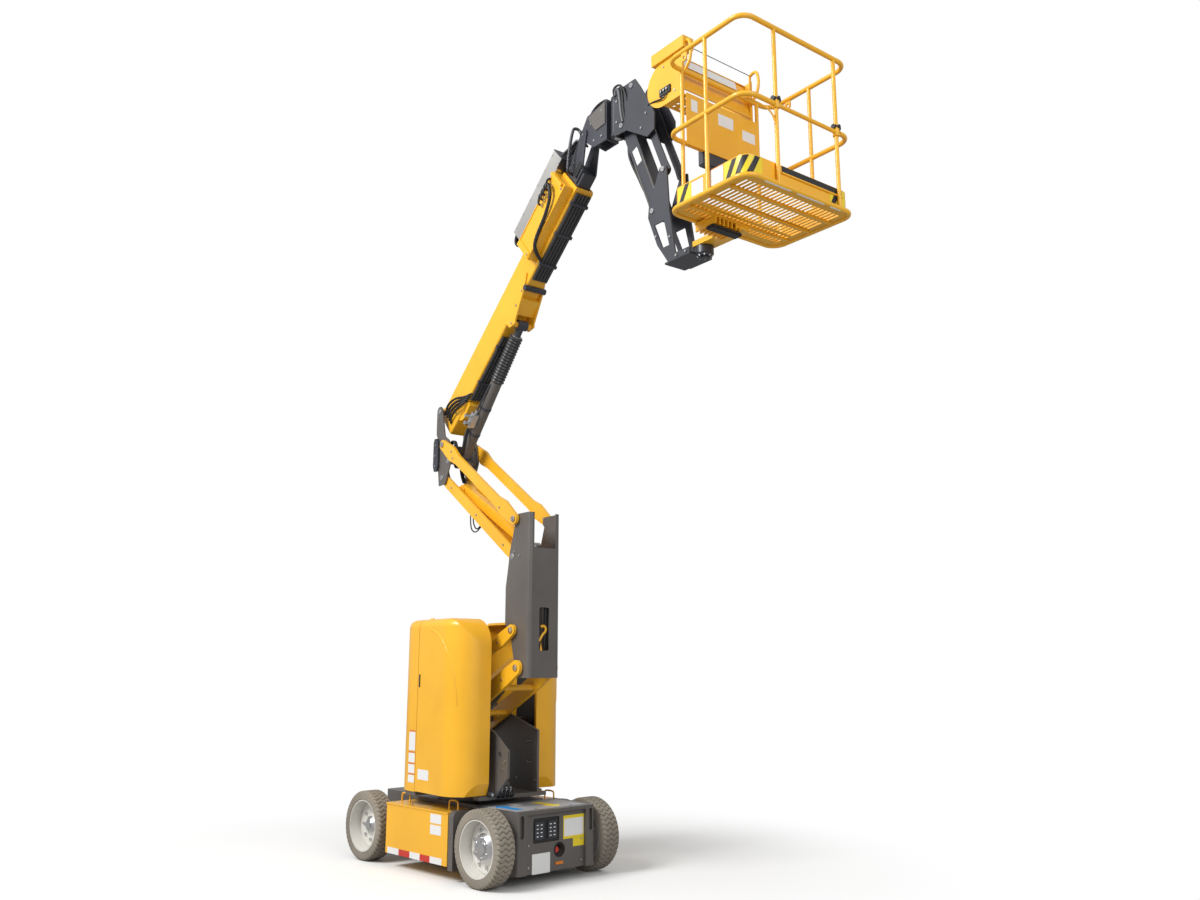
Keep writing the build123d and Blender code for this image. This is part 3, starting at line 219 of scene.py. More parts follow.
class Kit:
    """Simple solids that share a look and a body, joined into one piece."""

    def __init__(self, name, look, body, place=None):
        self.name, self.look, self.body = name, look, body
        self.place = place or PLACES.get(body, CHASSIS)
        self.mesh = bmesh.new()

    def box(self, low, high, bevel=0.0):
        size = [h - l for l, h in zip(low, high)]
        middle = [(h + l) / 2 for l, h in zip(low, high)]
        matrix = Matrix.Translation(middle) @ Matrix.Diagonal((*size, 1))
        made = bmesh.ops.create_cube(self.mesh, size=1, matrix=matrix)
        if bevel:
            edges = {edge for vert in made["verts"] for edge in vert.link_edges}
            bmesh.ops.bevel(self.mesh, geom=list(edges), offset=bevel, segments=2, affect="EDGES")
        return self

    def rod(self, start, end, radius, segments=20, tip=None):
        start, end = Vector(start), Vector(end)
        along = end - start
        turn = along.to_track_quat("Z", "Y").to_matrix().to_4x4()
        matrix = Matrix.Translation((start + end) / 2) @ turn
        bmesh.ops.create_cone(self.mesh, cap_ends=True, segments=segments, radius1=radius,
                              radius2=radius if tip is None else tip, depth=along.length, matrix=matrix)
        return self

    def skin(self, rings):
        """A solid through successive rings of points, closed at both ends."""
        rings = [[self.mesh.verts.new(point) for point in ring] for ring in rings]
        for low, high in zip(rings, rings[1:]):
            for i in range(len(low)):
                self.mesh.faces.new((low[i - 1], low[i], high[i], high[i - 1]))
        self.mesh.faces.new(rings[0])
        self.mesh.faces.new(rings[-1])
        return self

    def prism(self, outline, low, high):
        """An X-Z outline between two Y planes."""
        return self.skin([[(x, y, z) for x, z in outline] for y in (low, high)])

    def flat(self, outline, low, high):
        """An X-Y outline between two heights."""
        return self.skin([[(x, y, z) for x, y in outline] for z in (low, high)])

    def lathe(self, middle, profile, segments=40):
        """A (radius, Y) profile turned about the Y axis through a point."""
        middle = Vector(middle)
        return self.skin([[middle + Vector((radius * cos(turn), y, radius * sin(turn)))
                           for turn in around(segments)] for radius, y in profile])

    def done(self, sharp=SHARP_ANGLE):
        bmesh.ops.recalc_face_normals(self.mesh, faces=self.mesh.faces)
        data = bpy.data.meshes.new(self.name)
        self.mesh.to_mesh(data)
        self.mesh.free()
        data.transform(self.place)
        data.shade_smooth()
        data.set_sharp_from_angle(angle=radians(sharp))
        return finish_piece(bpy.data.objects.new(self.name, data), self.look, self.body)


def pipe(name, points, radius, look, body):
    """A smooth hose or bent rod through the points."""
    curve = bpy.data.curves.new(name, "CURVE")
    curve.dimensions = "3D"
    curve.bevel_depth = radius
    curve.bevel_resolution = 3
    curve.resolution_u = 8
    curve.use_fill_caps = True
    spline = curve.splines.new("NURBS")
    spline.points.add(len(points) - 1)
    for point, spot in zip(spline.points, points):
        point.co = (*(PLACES.get(body, CHASSIS) @ Vector(spot)), 1)
    spline.order_u = 3
    spline.use_endpoint_u = True
    finish_piece(bpy.data.objects.new(name, curve), look, body)


# Wheels

TYRE_RADIUS, TYRE_WIDTH, BEAD_RADIUS = 0.288, 0.164, 0.2145
BEAD_LIP, BEAD_RISE, SHOULDER, SHOULDER_GROOVE = 0.012, 0.004, 0.02, 0.35
TREAD_PITCHES, TREAD_STEPS, TREAD_ACROSS, TREAD_INSET, TREAD_SHARP = 44, 9, 30, 0.003, 50
GROOVE_DEPTH, GROOVE_HALF, GROOVE_FULL, GROOVE_SWAY, GROOVE_BENDS = 0.006, 0.1, 1.4, 0.24, 5


def tread_section():
    """(radius, Y, groove share) from the inner bead over the tread to the outer bead; the share sets a groove's depth
    and its painted shade.
    """
    half = TYRE_WIDTH / 2
    wall = [(BEAD_RADIUS, half - BEAD_LIP, 0), (BEAD_RADIUS + BEAD_RISE, half, 0),
            (TYRE_RADIUS - SHOULDER, half, SHOULDER_GROOVE)]
    points = [(radius, -y, share) for radius, y, share in wall]
    for i in range(TREAD_ACROSS + 1):
        y = (-1 + 2 * i / TREAD_ACROSS) * (half - TREAD_INSET)
        edge = max(0, (abs(y) - (half - SHOULDER)) / SHOULDER)
        points.append((TYRE_RADIUS - SHOULDER * (1 - sqrt(max(0, 1 - edge ** 2))), y, 1))
    return points + wall[::-1]


def tyre(end, side):
    """Solid tyre with wavy grooves across the tread, which its material darkens as painted shade."""
    middle = pin(f"wheel_{end}_{side}")
    section = tread_section()
    count, rows = TREAD_PITCHES * TREAD_STEPS, len(section)
    verts, faces, grooves = [], [], []
    for i, turn in enumerate(around(count)):
        for radius, y, share in section:
            sway = GROOVE_SWAY * sin(y / TYRE_WIDTH * GROOVE_BENDS * pi)
            phase = (i / TREAD_STEPS + sway) % 1
            grooves.append(share * min(1.0, max(0, GROOVE_FULL - abs(phase - 0.5) / GROOVE_HALF)))
            reach = radius - GROOVE_DEPTH * grooves[-1]
            verts.append(middle + Vector((reach * cos(turn), y, reach * sin(turn))))
        j = (i + 1) % count
        for k in range(rows):
            m = (k + 1) % rows
            faces.append((i * rows + k, j * rows + k, j * rows + m, i * rows + m))
    data = bpy.data.meshes.new(f"tread_{end}_{side}")
    data.from_pydata(verts, [], faces)
    # The groove shares go to the material, which darkens the grooves as painted shade
    data.attributes.new("groove", "FLOAT", "POINT").data.foreach_set("value", grooves)
    data.shade_smooth()
    data.set_sharp_from_angle(angle=radians(TREAD_SHARP))
    piece = finish_piece(bpy.data.objects.new(data.name, data), "rubber", f"wheel_{end}_{side}")
    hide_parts(f"tyre_{end}_{side}")


def hub(end, side):
    """Silver hub cover with its ring of bolts."""
    out = 1 if side == "left" else -1
    middle = pin(f"wheel_{end}_{side}")
    front = end == "front"
    reach, radius = (0.03, 0.098) if front else (0.016, 0.061)
    cover = Kit(f"hub_{end}_{side}", "silver", f"wheel_{end}_{side}")

    def heads(turns, ring, low, high, size):
        for turn in turns:
            spot = middle + Vector((ring * cos(turn), 0, ring * sin(turn)))
            cover.rod(spot + Vector((0, out * low, 0)), spot + Vector((0, out * high, 0)), size, HEX)

    profile = [(radius + 0.028, -0.017), (radius + 0.001, reach - 0.012), (radius - 0.012, reach),
               (radius * 0.55, reach), (radius * 0.52, reach + 0.012), (radius * 0.2, reach + 0.016)]
    cover.lathe(middle, [(r, out * d) for r, d in profile])
    heads(around(9 if front else 8), radius + (0.045 if front else 0.06), -0.018, -0.002, 0.013)
    if front:
        heads(around(6, 0.5), radius * 0.74, reach - 0.002, reach + 0.007, 0.009)
    cover.done()


for end in ("front", "rear"):
    for side in ("left", "right"):
        tyre(end, side)
        hub(end, side)


# Chassis

DECK, FACE, BOX_SIDE = 0.5502, 1.0242, 0.6122


def chassis_end():
    """Charger pocket, socket, plates, reflectors and screws of the end faces."""
    Kit("charger_panel", "black", "chassis").box((1.0095, -0.219, 0.311), (1.017, 0.039, 0.487), 0.003).done()
    blocks = Kit("charger_blocks", "charcoal", "chassis")
    studs = Kit("charger_studs", "white", "chassis")
    for y in (-0.162, -0.03):
        blocks.box((1.016, y - 0.048, 0.332), (1.027, y + 0.048, 0.464), 0.004)
        for i in range(4):
            z = 0.352 + 0.028 * i
            for side in (-1, 1):
                studs.box((1.0265, y + side * 0.02 - 0.009, z), (1.029, y + side * 0.02 + 0.009, z + 0.007))
    blocks.done()
    studs.done()
    ring = Kit("socket_ring", "black", "chassis")
    for turn in around(24):
        y, z = 0.044 + 0.0495 * cos(turn), 0.24 + 0.0495 * sin(turn)
        ring.box((1.02, y - 0.007, z - 0.007), (1.028, y + 0.007, z + 0.007), 0.002)
    ring.rod((0.965, 0.044, 0.24), (0.969, 0.044, 0.24), 0.047, 32).done()
    plug = Kit("socket_plug", "red", "chassis")
    plug.rod((0.968, 0.03, 0.238), (1.004, 0.03, 0.238), 0.024, 28)
    plug.rod((1.003, 0.03, 0.238), (1.012, 0.03, 0.238), 0.017, 28).done()
    back = Kit("plate_back", "lemon", "chassis")
    back.box((FACE, 0.083, 0.311), (FACE + 0.0014, 0.302, 0.486))
    back.box((FACE, 0.185, 0.247), (FACE + 0.0014, 0.302, 0.312)).done()
    plates = Kit("blank_plates_end", "white", "chassis")
    plates.box((FACE + 0.001, 0.092, 0.331), (FACE + 0.0024, 0.293, 0.462))
    plates.box((FACE, -0.232, 0.085), (FACE + 0.0016, -0.052, 0.232)).done()
    Kit("reflector_end", "amber", "chassis").box((FACE, 0, 0.131), (FACE + 0.008, 0.08, 0.154), 0.003).done()
    screws = Kit("cover_screws", "silver", "chassis")
    for y in (-0.27, 0.27):
        for z in (0.14, 0.3):
            screws.rod((FACE, y, z), (FACE + 0.006, y, z), 0.008, HEX)
    for y in (-0.18, 0.18):
        screws.rod((1.0, y, DECK), (1.0, y, DECK + 0.012), 0.01, 12)
    for y in (-0.24, 0.24):
        for z in (0.2, 0.46):
            screws.rod((-1.049, y, z), (-1.056, y, z), 0.01, HEX)
    screws.done()
    rear = Kit("reflectors_rear", "red", "chassis")
    for y in (-0.2, 0.12):
        rear.box((-1.058, y, 0.4), (-1.0495, y + 0.08, 0.424), 0.003)
    rear.done()


def deck_marks():
    """Pale deck sheet with two arrows and a stripe."""
    Kit("deck_sheet", "deck", "chassis").box((0.545, -0.36, DECK), (0.995, 0.36, DECK + 0.0015)).done()
    low, high = DECK + 0.0012, DECK + 0.0026
    Kit("arrow_back", "blue", "chassis").flat(
        [(0.62, -0.27), (0.71, -0.35), (0.71, -0.305), (0.92, -0.305), (0.92, -0.235), (0.71, -0.235), (0.71, -0.19)],
        low, high).done()
    Kit("arrow_ahead", "lemon", "chassis").flat(
        [(0.95, 0.1), (0.86, 0.19), (0.86, 0.14), (0.64, 0.14), (0.64, 0.06), (0.86, 0.06), (0.86, 0.01)],
        low, high).done()
    Kit("deck_stripe", "white", "chassis").box((0.6, -0.15, low), (0.7, -0.07, high)).done()


TAPE = (-0.412, -0.242, -0.078, 0.069, 0.211, 0.375)
TAPE_LOW, TAPE_HIGH, TAPE_PROUD = 0.1155, 0.165, 0.0012


def battery_side(side):
    """Reflective tape, blank plates, screws and lifting loops of a battery box."""
    name = "left" if side > 0 else "right"
    y0, y1 = sorted((side * BOX_SIDE, side * (BOX_SIDE + TAPE_PROUD)))
    tapes = [Kit(f"tape_{look}_{name}", look, "chassis") for look in ("white", "red")]
    for i, (x0, x1) in enumerate(zip(TAPE, TAPE[1:])):
        tapes[i % 2].box((x0, y0, TAPE_LOW), (x1, y1, TAPE_HIGH))
    for tape in tapes:
        tape.done()
    plates = Kit(f"blank_plates_box_{name}", "white", "chassis")
    plates.box((0.205, y0, 0.418), (0.355, y1, 0.488)).box((0.205, y0, 0.333), (0.355, y1, 0.405)).done()
    heads = Kit(f"box_screws_{name}", "silver", "chassis")
    y = side * (BOX_SIDE - 0.05)
    for x in (-0.42, -0.14, 0.14, 0.42):
        heads.rod((x, y, 0.517), (x, y, 0.523), 0.009, HEX)
    heads.done()
    y = side * 0.5
    for i, x in enumerate((-0.33, 0.36)):
        pipe(f"lid_loop_{name}_{i}", [
            (x - 0.06, y, 0.512), (x - 0.06, y, 0.565), (x - 0.055, y, 0.592), (x + 0.055, y, 0.592),
            (x + 0.06, y, 0.565), (x + 0.06, y, 0.512)], 0.007, "yellow", "chassis")


def rear_lugs():
    """Bolt heads on the tie-down lugs."""
    bolts = Kit("lug_bolts", "silver", "chassis")
    for side in (-1, 1):
        for x in (-0.635, -0.575):
            bolts.rod((x, side * 0.281, 0.515), (x, side * 0.289, 0.515), 0.009, HEX)
    bolts.done()


# Turntable and hoods

# Middle X, middle Y and radius of the rounded corners, the front ones by side
REAR_ARC = (-0.11, 0.314, 0.29)
FRONT_ARCS = {1: (0.225, 0.374, 0.23), -1: (0.42, 0.374, 0.23)}
HOOD_FLAT, LINING_GAP, LINING_RADIUS, LINING_REACH = 0.604, 0.021, 0.209, 0.208
LINING_LOW, LINING_HIGH, LINING_THICK, LINING_STEPS = 0.7, 1.78, 0.002, 16
PLATE_BACK, PLATE_FACE, PLATE_PROUD = 0.0002, 0.0016, 0.0014


def hood_skin(x, side):
    """Distance of a hood's outer face from the middle plane."""
    for middle, y, radius in (REAR_ARC, FRONT_ARCS[side]):
        if (x < middle) == (middle < 0) and x != middle:
            return y + sqrt(max(0, radius ** 2 - (x - middle) ** 2))
    return HOOD_FLAT


def lining_wall(x, side):
    """Distance of a hood's inner face from the middle plane."""
    middle, y, _ = FRONT_ARCS[side]
    if x > middle:
        return y + sqrt(max(0, LINING_RADIUS ** 2 - (x - middle) ** 2))
    return hood_skin(x, side) - LINING_GAP


def sheet(kit, side, x0, x1, z0, z1, back=PLATE_BACK, face=PLATE_FACE, steps=8, wall=hood_skin):
    """A thin sheet that follows a hood."""
    rings = []
    for i in range(steps + 1):
        x = x0 + (x1 - x0) * i / steps
        corners = ((z0, back), (z1, back), (z1, face), (z0, face))
        rings.append([(x, side * (wall(x, side) + d), z) for z, d in corners])
    return kit.skin(rings)


def hood_lining(name, side):
    """Black lining on the inside of a hood's outer wall."""
    front = FRONT_ARCS[side][0] + LINING_REACH
    for part, body, x0, x1 in (("door", f"hood_{name}", 0.006, front), ("tail", "turntable", -0.3, -0.006)):
        lining = Kit(f"lining_{part}_{name}", "black", body)
        sheet(lining, side, x0, x1, LINING_LOW, LINING_HIGH, 0, -LINING_THICK, LINING_STEPS, lining_wall).done()


CREASE = ((0.17, 1.945), (0.3, 1.915), (0.4, 1.85), (0.475, 1.75), (0.525, 1.62), (0.552, 1.48), (0.562, 1.34))
KNOB_X, KNOB_Y = -0.1, 0.43


def hood_details(side):
    """Latch, blank plates, crease, lining and roof knob of a hood."""
    name = "left" if side > 0 else "right"
    door = f"hood_{name}"
    y0, y1 = sorted((side * (HOOD_FLAT - 0.001), side * (HOOD_FLAT + 0.002)))
    Kit(f"latch_{name}", "black", door).box((0.018, y0, 1.47), (0.04, y1, 1.576), 0.001).done()
    paddle = Kit(f"latch_paddle_{name}", "charcoal", door)
    y0, y1 = sorted((side * (HOOD_FLAT + 0.001), side * (HOOD_FLAT + 0.006)))
    for i in range(4):
        paddle.box((0.022, y0, 1.478 + 0.025 * i), (0.036, y1, 1.494 + 0.025 * i), 0.002)
    paddle.done()
    plates = Kit(f"blank_plates_tail_{name}", "white", "turntable")
    heads = Kit(f"plate_heads_tail_{name}", "amber", "turntable")
    for z0, z1 in ((0.955, 1.105), (0.86, 0.935), (0.775, 0.845), (0.7, 0.76)):
        sheet(plates, side, -0.118, -0.012, z0, z1)
        sheet(heads, side, -0.118, -0.012, z1, z1 + 0.014)
    plates.done()
    heads.done()
    plates = Kit(f"blank_plate_door_{name}", "white", door)
    sheet(plates, side, 0.05, 0.23, 0.735, 0.815).done()
    back = FRONT_ARCS[-1][0] - FRONT_ARCS[side][0]
    crease = [(x - back * x / 0.6, z) for x, z in CREASE]
    pipe(f"crease_{name}", [(x, side * (hood_skin(x, side) - 0.0045), z) for x, z in crease], 0.009, "yellow", door)
    hood_lining(name, side)
    knob = Kit(f"hood_knob_{name}", "yellow", "turntable")
    for low, high, radius, segments, tip in ((2.029, 2.04, 0.034, 28, 0.03), (2.04, 2.05, 0.02, 24, 0.015)):
        knob.rod((KNOB_X, side * KNOB_Y, low), (KNOB_X, side * KNOB_Y, high), radius, segments, tip)
    knob.done()


PORTS, PORT_Z = [-0.18 + 0.04 * i for i in range(4)], 0.66


def turntable_details():
    """Plate bolts and the manifold with its short hoses."""
    bolts = Kit("turntable_bolts", "silver", "turntable")
    for side in (-1, 1):
        y = side * 0.2052
        for x, z in ((0.47, 1.03), (0.51, 1.03), (0.47, 0.86), (0.51, 0.86), (0.3, 0.72), (0.56, 0.72)):
            bolts.rod((x, y, z), (x, y - side * 0.009, z), 0.01, HEX)
    for x, z in ((0.74, 0.84), (0.78, 0.9)):
        bolts.rod((x, -0.2248, z), (x, -0.233, z), 0.01, HEX)
    bolts.done()
    manifold = Kit("manifold", "charcoal", "turntable")
    manifold.box((0.5, -0.198, 0.6305), (0.6, -0.04, 0.69), 0.004)
    manifold.rod((0.605, -0.272, 0.645), (0.67, -0.272, 0.645), 0.022, 24).done()
    fittings = Kit("manifold_fittings", "silver", "turntable")
    for y in PORTS:
        fittings.rod((0.598, y, PORT_Z), (0.622, y, PORT_Z), 0.012, HEX)
        fittings.rod((0.62, y, PORT_Z), (0.64, y, PORT_Z), 0.008, 16)
        fittings.rod((0.598, y, 0.682), (0.618, y, 0.682), 0.007, HEX)
    fittings.rod((0.669, -0.272, 0.645), (0.682, -0.272, 0.645), 0.013, HEX).done()
    for i, y in enumerate(PORTS):
        pipe(f"manifold_hose_{i}", [
            (0.635, y, PORT_Z), (0.65, y, PORT_Z), (0.658, y, 0.64), (0.65, y, 0.618), (0.625, y, 0.6155),
            (0.6, y, 0.6155)], 0.01, "black", "turntable")


# Tower

# Distances of outer faces from the middle plane, and heights of pin ends
PIN_Y, RISER_Y, ARM_Y, JIB_Y = 0.194, 0.1525, 0.188, 0.11
CAP_HEIGHT, FLAT_CAP_HEIGHT = 0.011, 0.006


def pin_ends(name, body, radius, height, spots, keepers=(), place=None):
    """Turned pin ends on both sides of a member, some with keeper screws."""
    ends = Kit(name, "silver", body, place)
    for side in (-1, 1):
        for x, z, y in spots:
            profile = ((radius, y - 0.001), (radius, y + 0.6 * height), (radius * 0.78, y + height),
                       (radius * 0.3, y + height), (radius * 0.28, y + 0.5 * height))
            ends.lathe((x, 0, z), [(r, side * d) for r, d in profile], 28)
        for x, z, turn, reach in keepers:
            spot = Vector((x + reach * cos(turn), side * RISER_Y, z + reach * sin(turn)))
            ends.rod(spot, spot + Vector((0, side * 0.006, 0)), 0.011, HEX)
    ends.done()


def tower_pins():
    """Pin ends and keeper screws of riser, upright and turntable."""
    pin_ends("pin_ends_riser", "riser", 0.026, FLAT_CAP_HEIGHT,
             ((0.85, 1.63, PIN_Y), (0.77, 1.93, PIN_Y), (0.783, 2.842, PIN_Y), (0.723, 2.535, RISER_Y)),
             ((0.783, 2.842, 2.6, 0.07), (0.83, 2.535, 0, 0), (0.723, 2.535, 0.9, 0.05)))
    pin_ends("pin_ends_upright", "upright", 0.026, FLAT_CAP_HEIGHT,
             ((-0.467, 3.682, PIN_Y), (-0.527, 3.375, RISER_Y), (-0.6, 4.03, RISER_Y), (-0.42, 3.52, RISER_Y)),
             ((-0.6, 4.03, 4.4, 0.055), (-0.527, 3.375, 0.4, 0.05)))
    pin_ends("pin_ends_turntable", "turntable", 0.03, CAP_HEIGHT, ((-0.2286, 1.104, 0.225), (-0.3086, 1.404, 0.225)))


def arm_bolts(name, body, spots, y, place=None):
    """Hex heads on the outer faces of a pair of arms."""
    bolts = Kit(name, "silver", body, place)
    for s, n in spots:
        for side in (-1, 1):
            bolts.rod((s, side * y, n), (s, side * (y + 0.008), n), 0.01, HEX)
    bolts.done()


HOOK_X = 0.955
HOOK = ((-0.143, 1.815), (-0.08, 1.825), (-0.035, 1.84), (-0.015, 1.87), (0.005, 1.9), (0.028, 1.915),
        (0.034, 1.945), (0.01, 1.968), (-0.02, 1.955))


def riser_details():
    """Catch in the window, hoses in the channel and guide blocks under the notch."""
    pipe("window_hook", [(HOOK_X, y, z) for y, z in HOOK], 0.011, "yellow", "riser")
    for i, y in enumerate((-0.05, -0.02, 0.03, 0.06)):
        pipe(f"riser_hose_{i}", [
            (0.9, y, 1.6), (0.93, y, 1.75), (0.94, y + 0.01, 2.0), (0.935, y, 2.3), (0.92, y, 2.5), (0.86, y, 2.62),
            (0.78, y, 2.6)], 0.012, "black", "riser")
    blocks = Kit("riser_guides", "black", "riser")
    for y in (-0.095, 0.095):
        blocks.box((0.935, y - 0.03, 2.5), (0.9695, y + 0.03, 2.585), 0.004)
    blocks.done()


def upper_tower_details():
    """Cylinder cover and gland, bolts, cables, and the upright's plates and hoses."""
    cover = Kit("cylinder_channel", "yellow", "upper_link", CYLINDER)
    cover.box((-1.315, -0.047, -0.044), (-0.2, 0.047, 0.044), 0.01).done()
    gland = Kit("cylinder_gland", "charcoal", "upper_link", CYLINDER)
    gland.rod((-0.201, 0, 0), (-0.165, 0, 0), 0.04, 32).rod((-0.166, 0, 0), (-0.15, 0, 0), 0.032, 32).done()
    arm_bolts("upper_arm_bolts", "upper_arm", ((0.2, 0.02), (0.26, -0.02), (1.26, -0.02)), ARM_Y)
    arm_bolts("upper_link_bolts", "upper_link", ((0.2, 0), (0.75, 0), (1.3, 0)), 0.134)
    pipe("link_cable", [
        (0.6, -0.1, -0.052), (0.64, -0.105, -0.11), (0.72, -0.11, -0.17), (0.8, -0.11, -0.15), (0.83, -0.105, -0.09),
        (0.84, -0.1, -0.052)], 0.006, "black", "upper_link")
    pipe("link_cable_b", [
        (0.63, -0.09, -0.052), (0.66, -0.09, -0.1), (0.73, -0.09, -0.14), (0.79, -0.09, -0.12),
        (0.81, -0.09, -0.052)], 0.006, "black", "upper_link")
    plate = Kit("upright_side_plates", "charcoal", "upright")
    outline = [(-0.66, 3.5), (-0.64, 3.45), (-0.592, 3.45), (-0.572, 3.5), (-0.572, 3.7), (-0.602, 3.765),
               (-0.645, 3.765), (-0.66, 3.72)]
    for low, high in ((-0.176, -0.1527), (0.1527, 0.176)):
        plate.prism(outline, low, high)
    plate.done()
    arm_bolts("upright_bolts", "upright", ((-0.615, 3.5), (-0.615, 3.6), (-0.615, 3.7)), 0.176)
    for i, y in enumerate((-0.09, -0.07, 0.07, 0.09)):
        pipe(f"upright_hose_{i}", [
            (-0.5, y, 3.35), (-0.56, y, 3.44), (-0.56, y, 3.58), (-0.52, y, 3.68), (-0.46, y, 3.73), (-0.4, y, 3.71),
            (-0.385, y, 3.62)], 0.01, "black", "upright")


def lower_tower_details():
    """Bolts of the lower arms and the gland of their cylinder."""
    arm_bolts("lower_arm_bolts", "lower_arm", ((0.3, 0), (0.62, 0), (0.98, 0)), ARM_Y)
    arm_bolts("lower_link_bolts", "lower_link", ((0.32, 0), (0.98, 0)), ARM_Y)
    gland = Kit("lower_gland", "charcoal", "lower_arm", LOWER_CYLINDER)
    gland.rod((-0.265, 0, 0), (-0.235, 0, 0), 0.043, 32).done()


# Boom

BELLOWS_START, BELLOWS_END, BELLOWS_PLEATS, BELLOWS_SEGMENTS = 0.892, 1.366, 16, 36
BELLOWS_VALLEY, BELLOWS_RIDGE, BELLOWS_SHARP = 0.0535, 0.064, 60


def pleats():
    """(radius, distance) of the bellows along its axis."""
    step = (BELLOWS_END - BELLOWS_START) / BELLOWS_PLEATS
    points = []
    for i in range(BELLOWS_PLEATS):
        points += [(BELLOWS_VALLEY, BELLOWS_START + i * step), (BELLOWS_RIDGE, BELLOWS_START + (i + 0.5) * step)]
    return points + [(BELLOWS_VALLEY, BELLOWS_END)]


def bellows():
    """Pleated sleeve over the lift rod, which rides on the rod as one rigid piece."""
    sleeve = Kit("bellows", "sleeve", "lift_rod")
    piece = sleeve.skin([[(s, radius * cos(turn), radius * sin(turn)) for turn in around(BELLOWS_SEGMENTS)]
                         for radius, s in pleats()]).done(BELLOWS_SHARP)
    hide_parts("lift_bellows")
    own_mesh(piece)


VALVE_RODS = (((0.43, -0.105, 0), (0.43, -0.15, 0), 0.022, HEX),
              ((0.5, -0.105, 0.01), (0.5, -0.165, 0.01), 0.018, 24),
              ((0.47, -0.075, 0.034), (0.47, -0.075, 0.066), 0.016, HEX),
              ((0.54, -0.075, 0), (0.575, -0.075, 0), 0.014, HEX),
              ((0.4, -0.075, 0.012), (0.37, -0.075, 0.012), 0.012, HEX))


def lift_details():
    """Bands, painted eye, valve, tube and hoses of the lift cylinder."""
    Kit("bellows_bands", "silver", "lift_rod").rod((1.358, 0, 0), (1.372, 0, 0), 0.046, 32).done()
    eye = Kit("lift_eye_paint", "charcoal", "lift_rod")
    eye.rod((1.4795, -0.0485, 0), (1.4795, 0.0485, 0), 0.0452, 40).rod((1.37, 0, 0), (1.45, 0, 0), 0.0335, 32).done()
    valve = Kit("lift_valve", "silver", "lift_barrel")
    valve.box((0.4, -0.105, -0.035), (0.54, -0.048, 0.035), 0.006)
    for rod in VALVE_RODS:
        valve.rod(*rod)
    valve.done()
    bands = Kit("lift_bands", "charcoal", "lift_barrel")
    for low, high in ((0.32, 0.345), (0.6, 0.625), (0.055, 0.085)):
        bands.rod((low, 0, 0), (high, 0, 0), 0.056, 36)
    bands.done()
    pipe("lift_tube", [
        (0.575, -0.075, 0), (0.62, -0.075, 0), (0.7, -0.066, 0), (0.8, -0.06, 0), (0.86, -0.056, 0),
        (0.87, -0.045, 0)], 0.008, "charcoal", "lift_barrel")
    for i, y in enumerate((-0.082, -0.066)):
        pipe(f"lift_hose_{i}", [
            (0.375, y, 0.012), (0.33, y - 0.01, 0), (0.26, y - 0.02, -0.045), (0.17, y - 0.012, -0.075),
            (0.09, y, -0.07), (0.03, y + 0.01, -0.05)], 0.011, "black", "lift_barrel")


UNDER_HOSES = {"low": ((0.36, -0.255), (0.6, -0.2555), (0.85, -0.2555), (1.08, -0.254)),
               "high": ((1.7, -0.254), (1.95, -0.2555), (2.3, -0.2555), (2.56, -0.254))}
PANEL_FACE, PANEL_PORT = -0.1695, -0.02
PANEL_PORTS = [2.28 + 0.048 * i for i in range(5)]


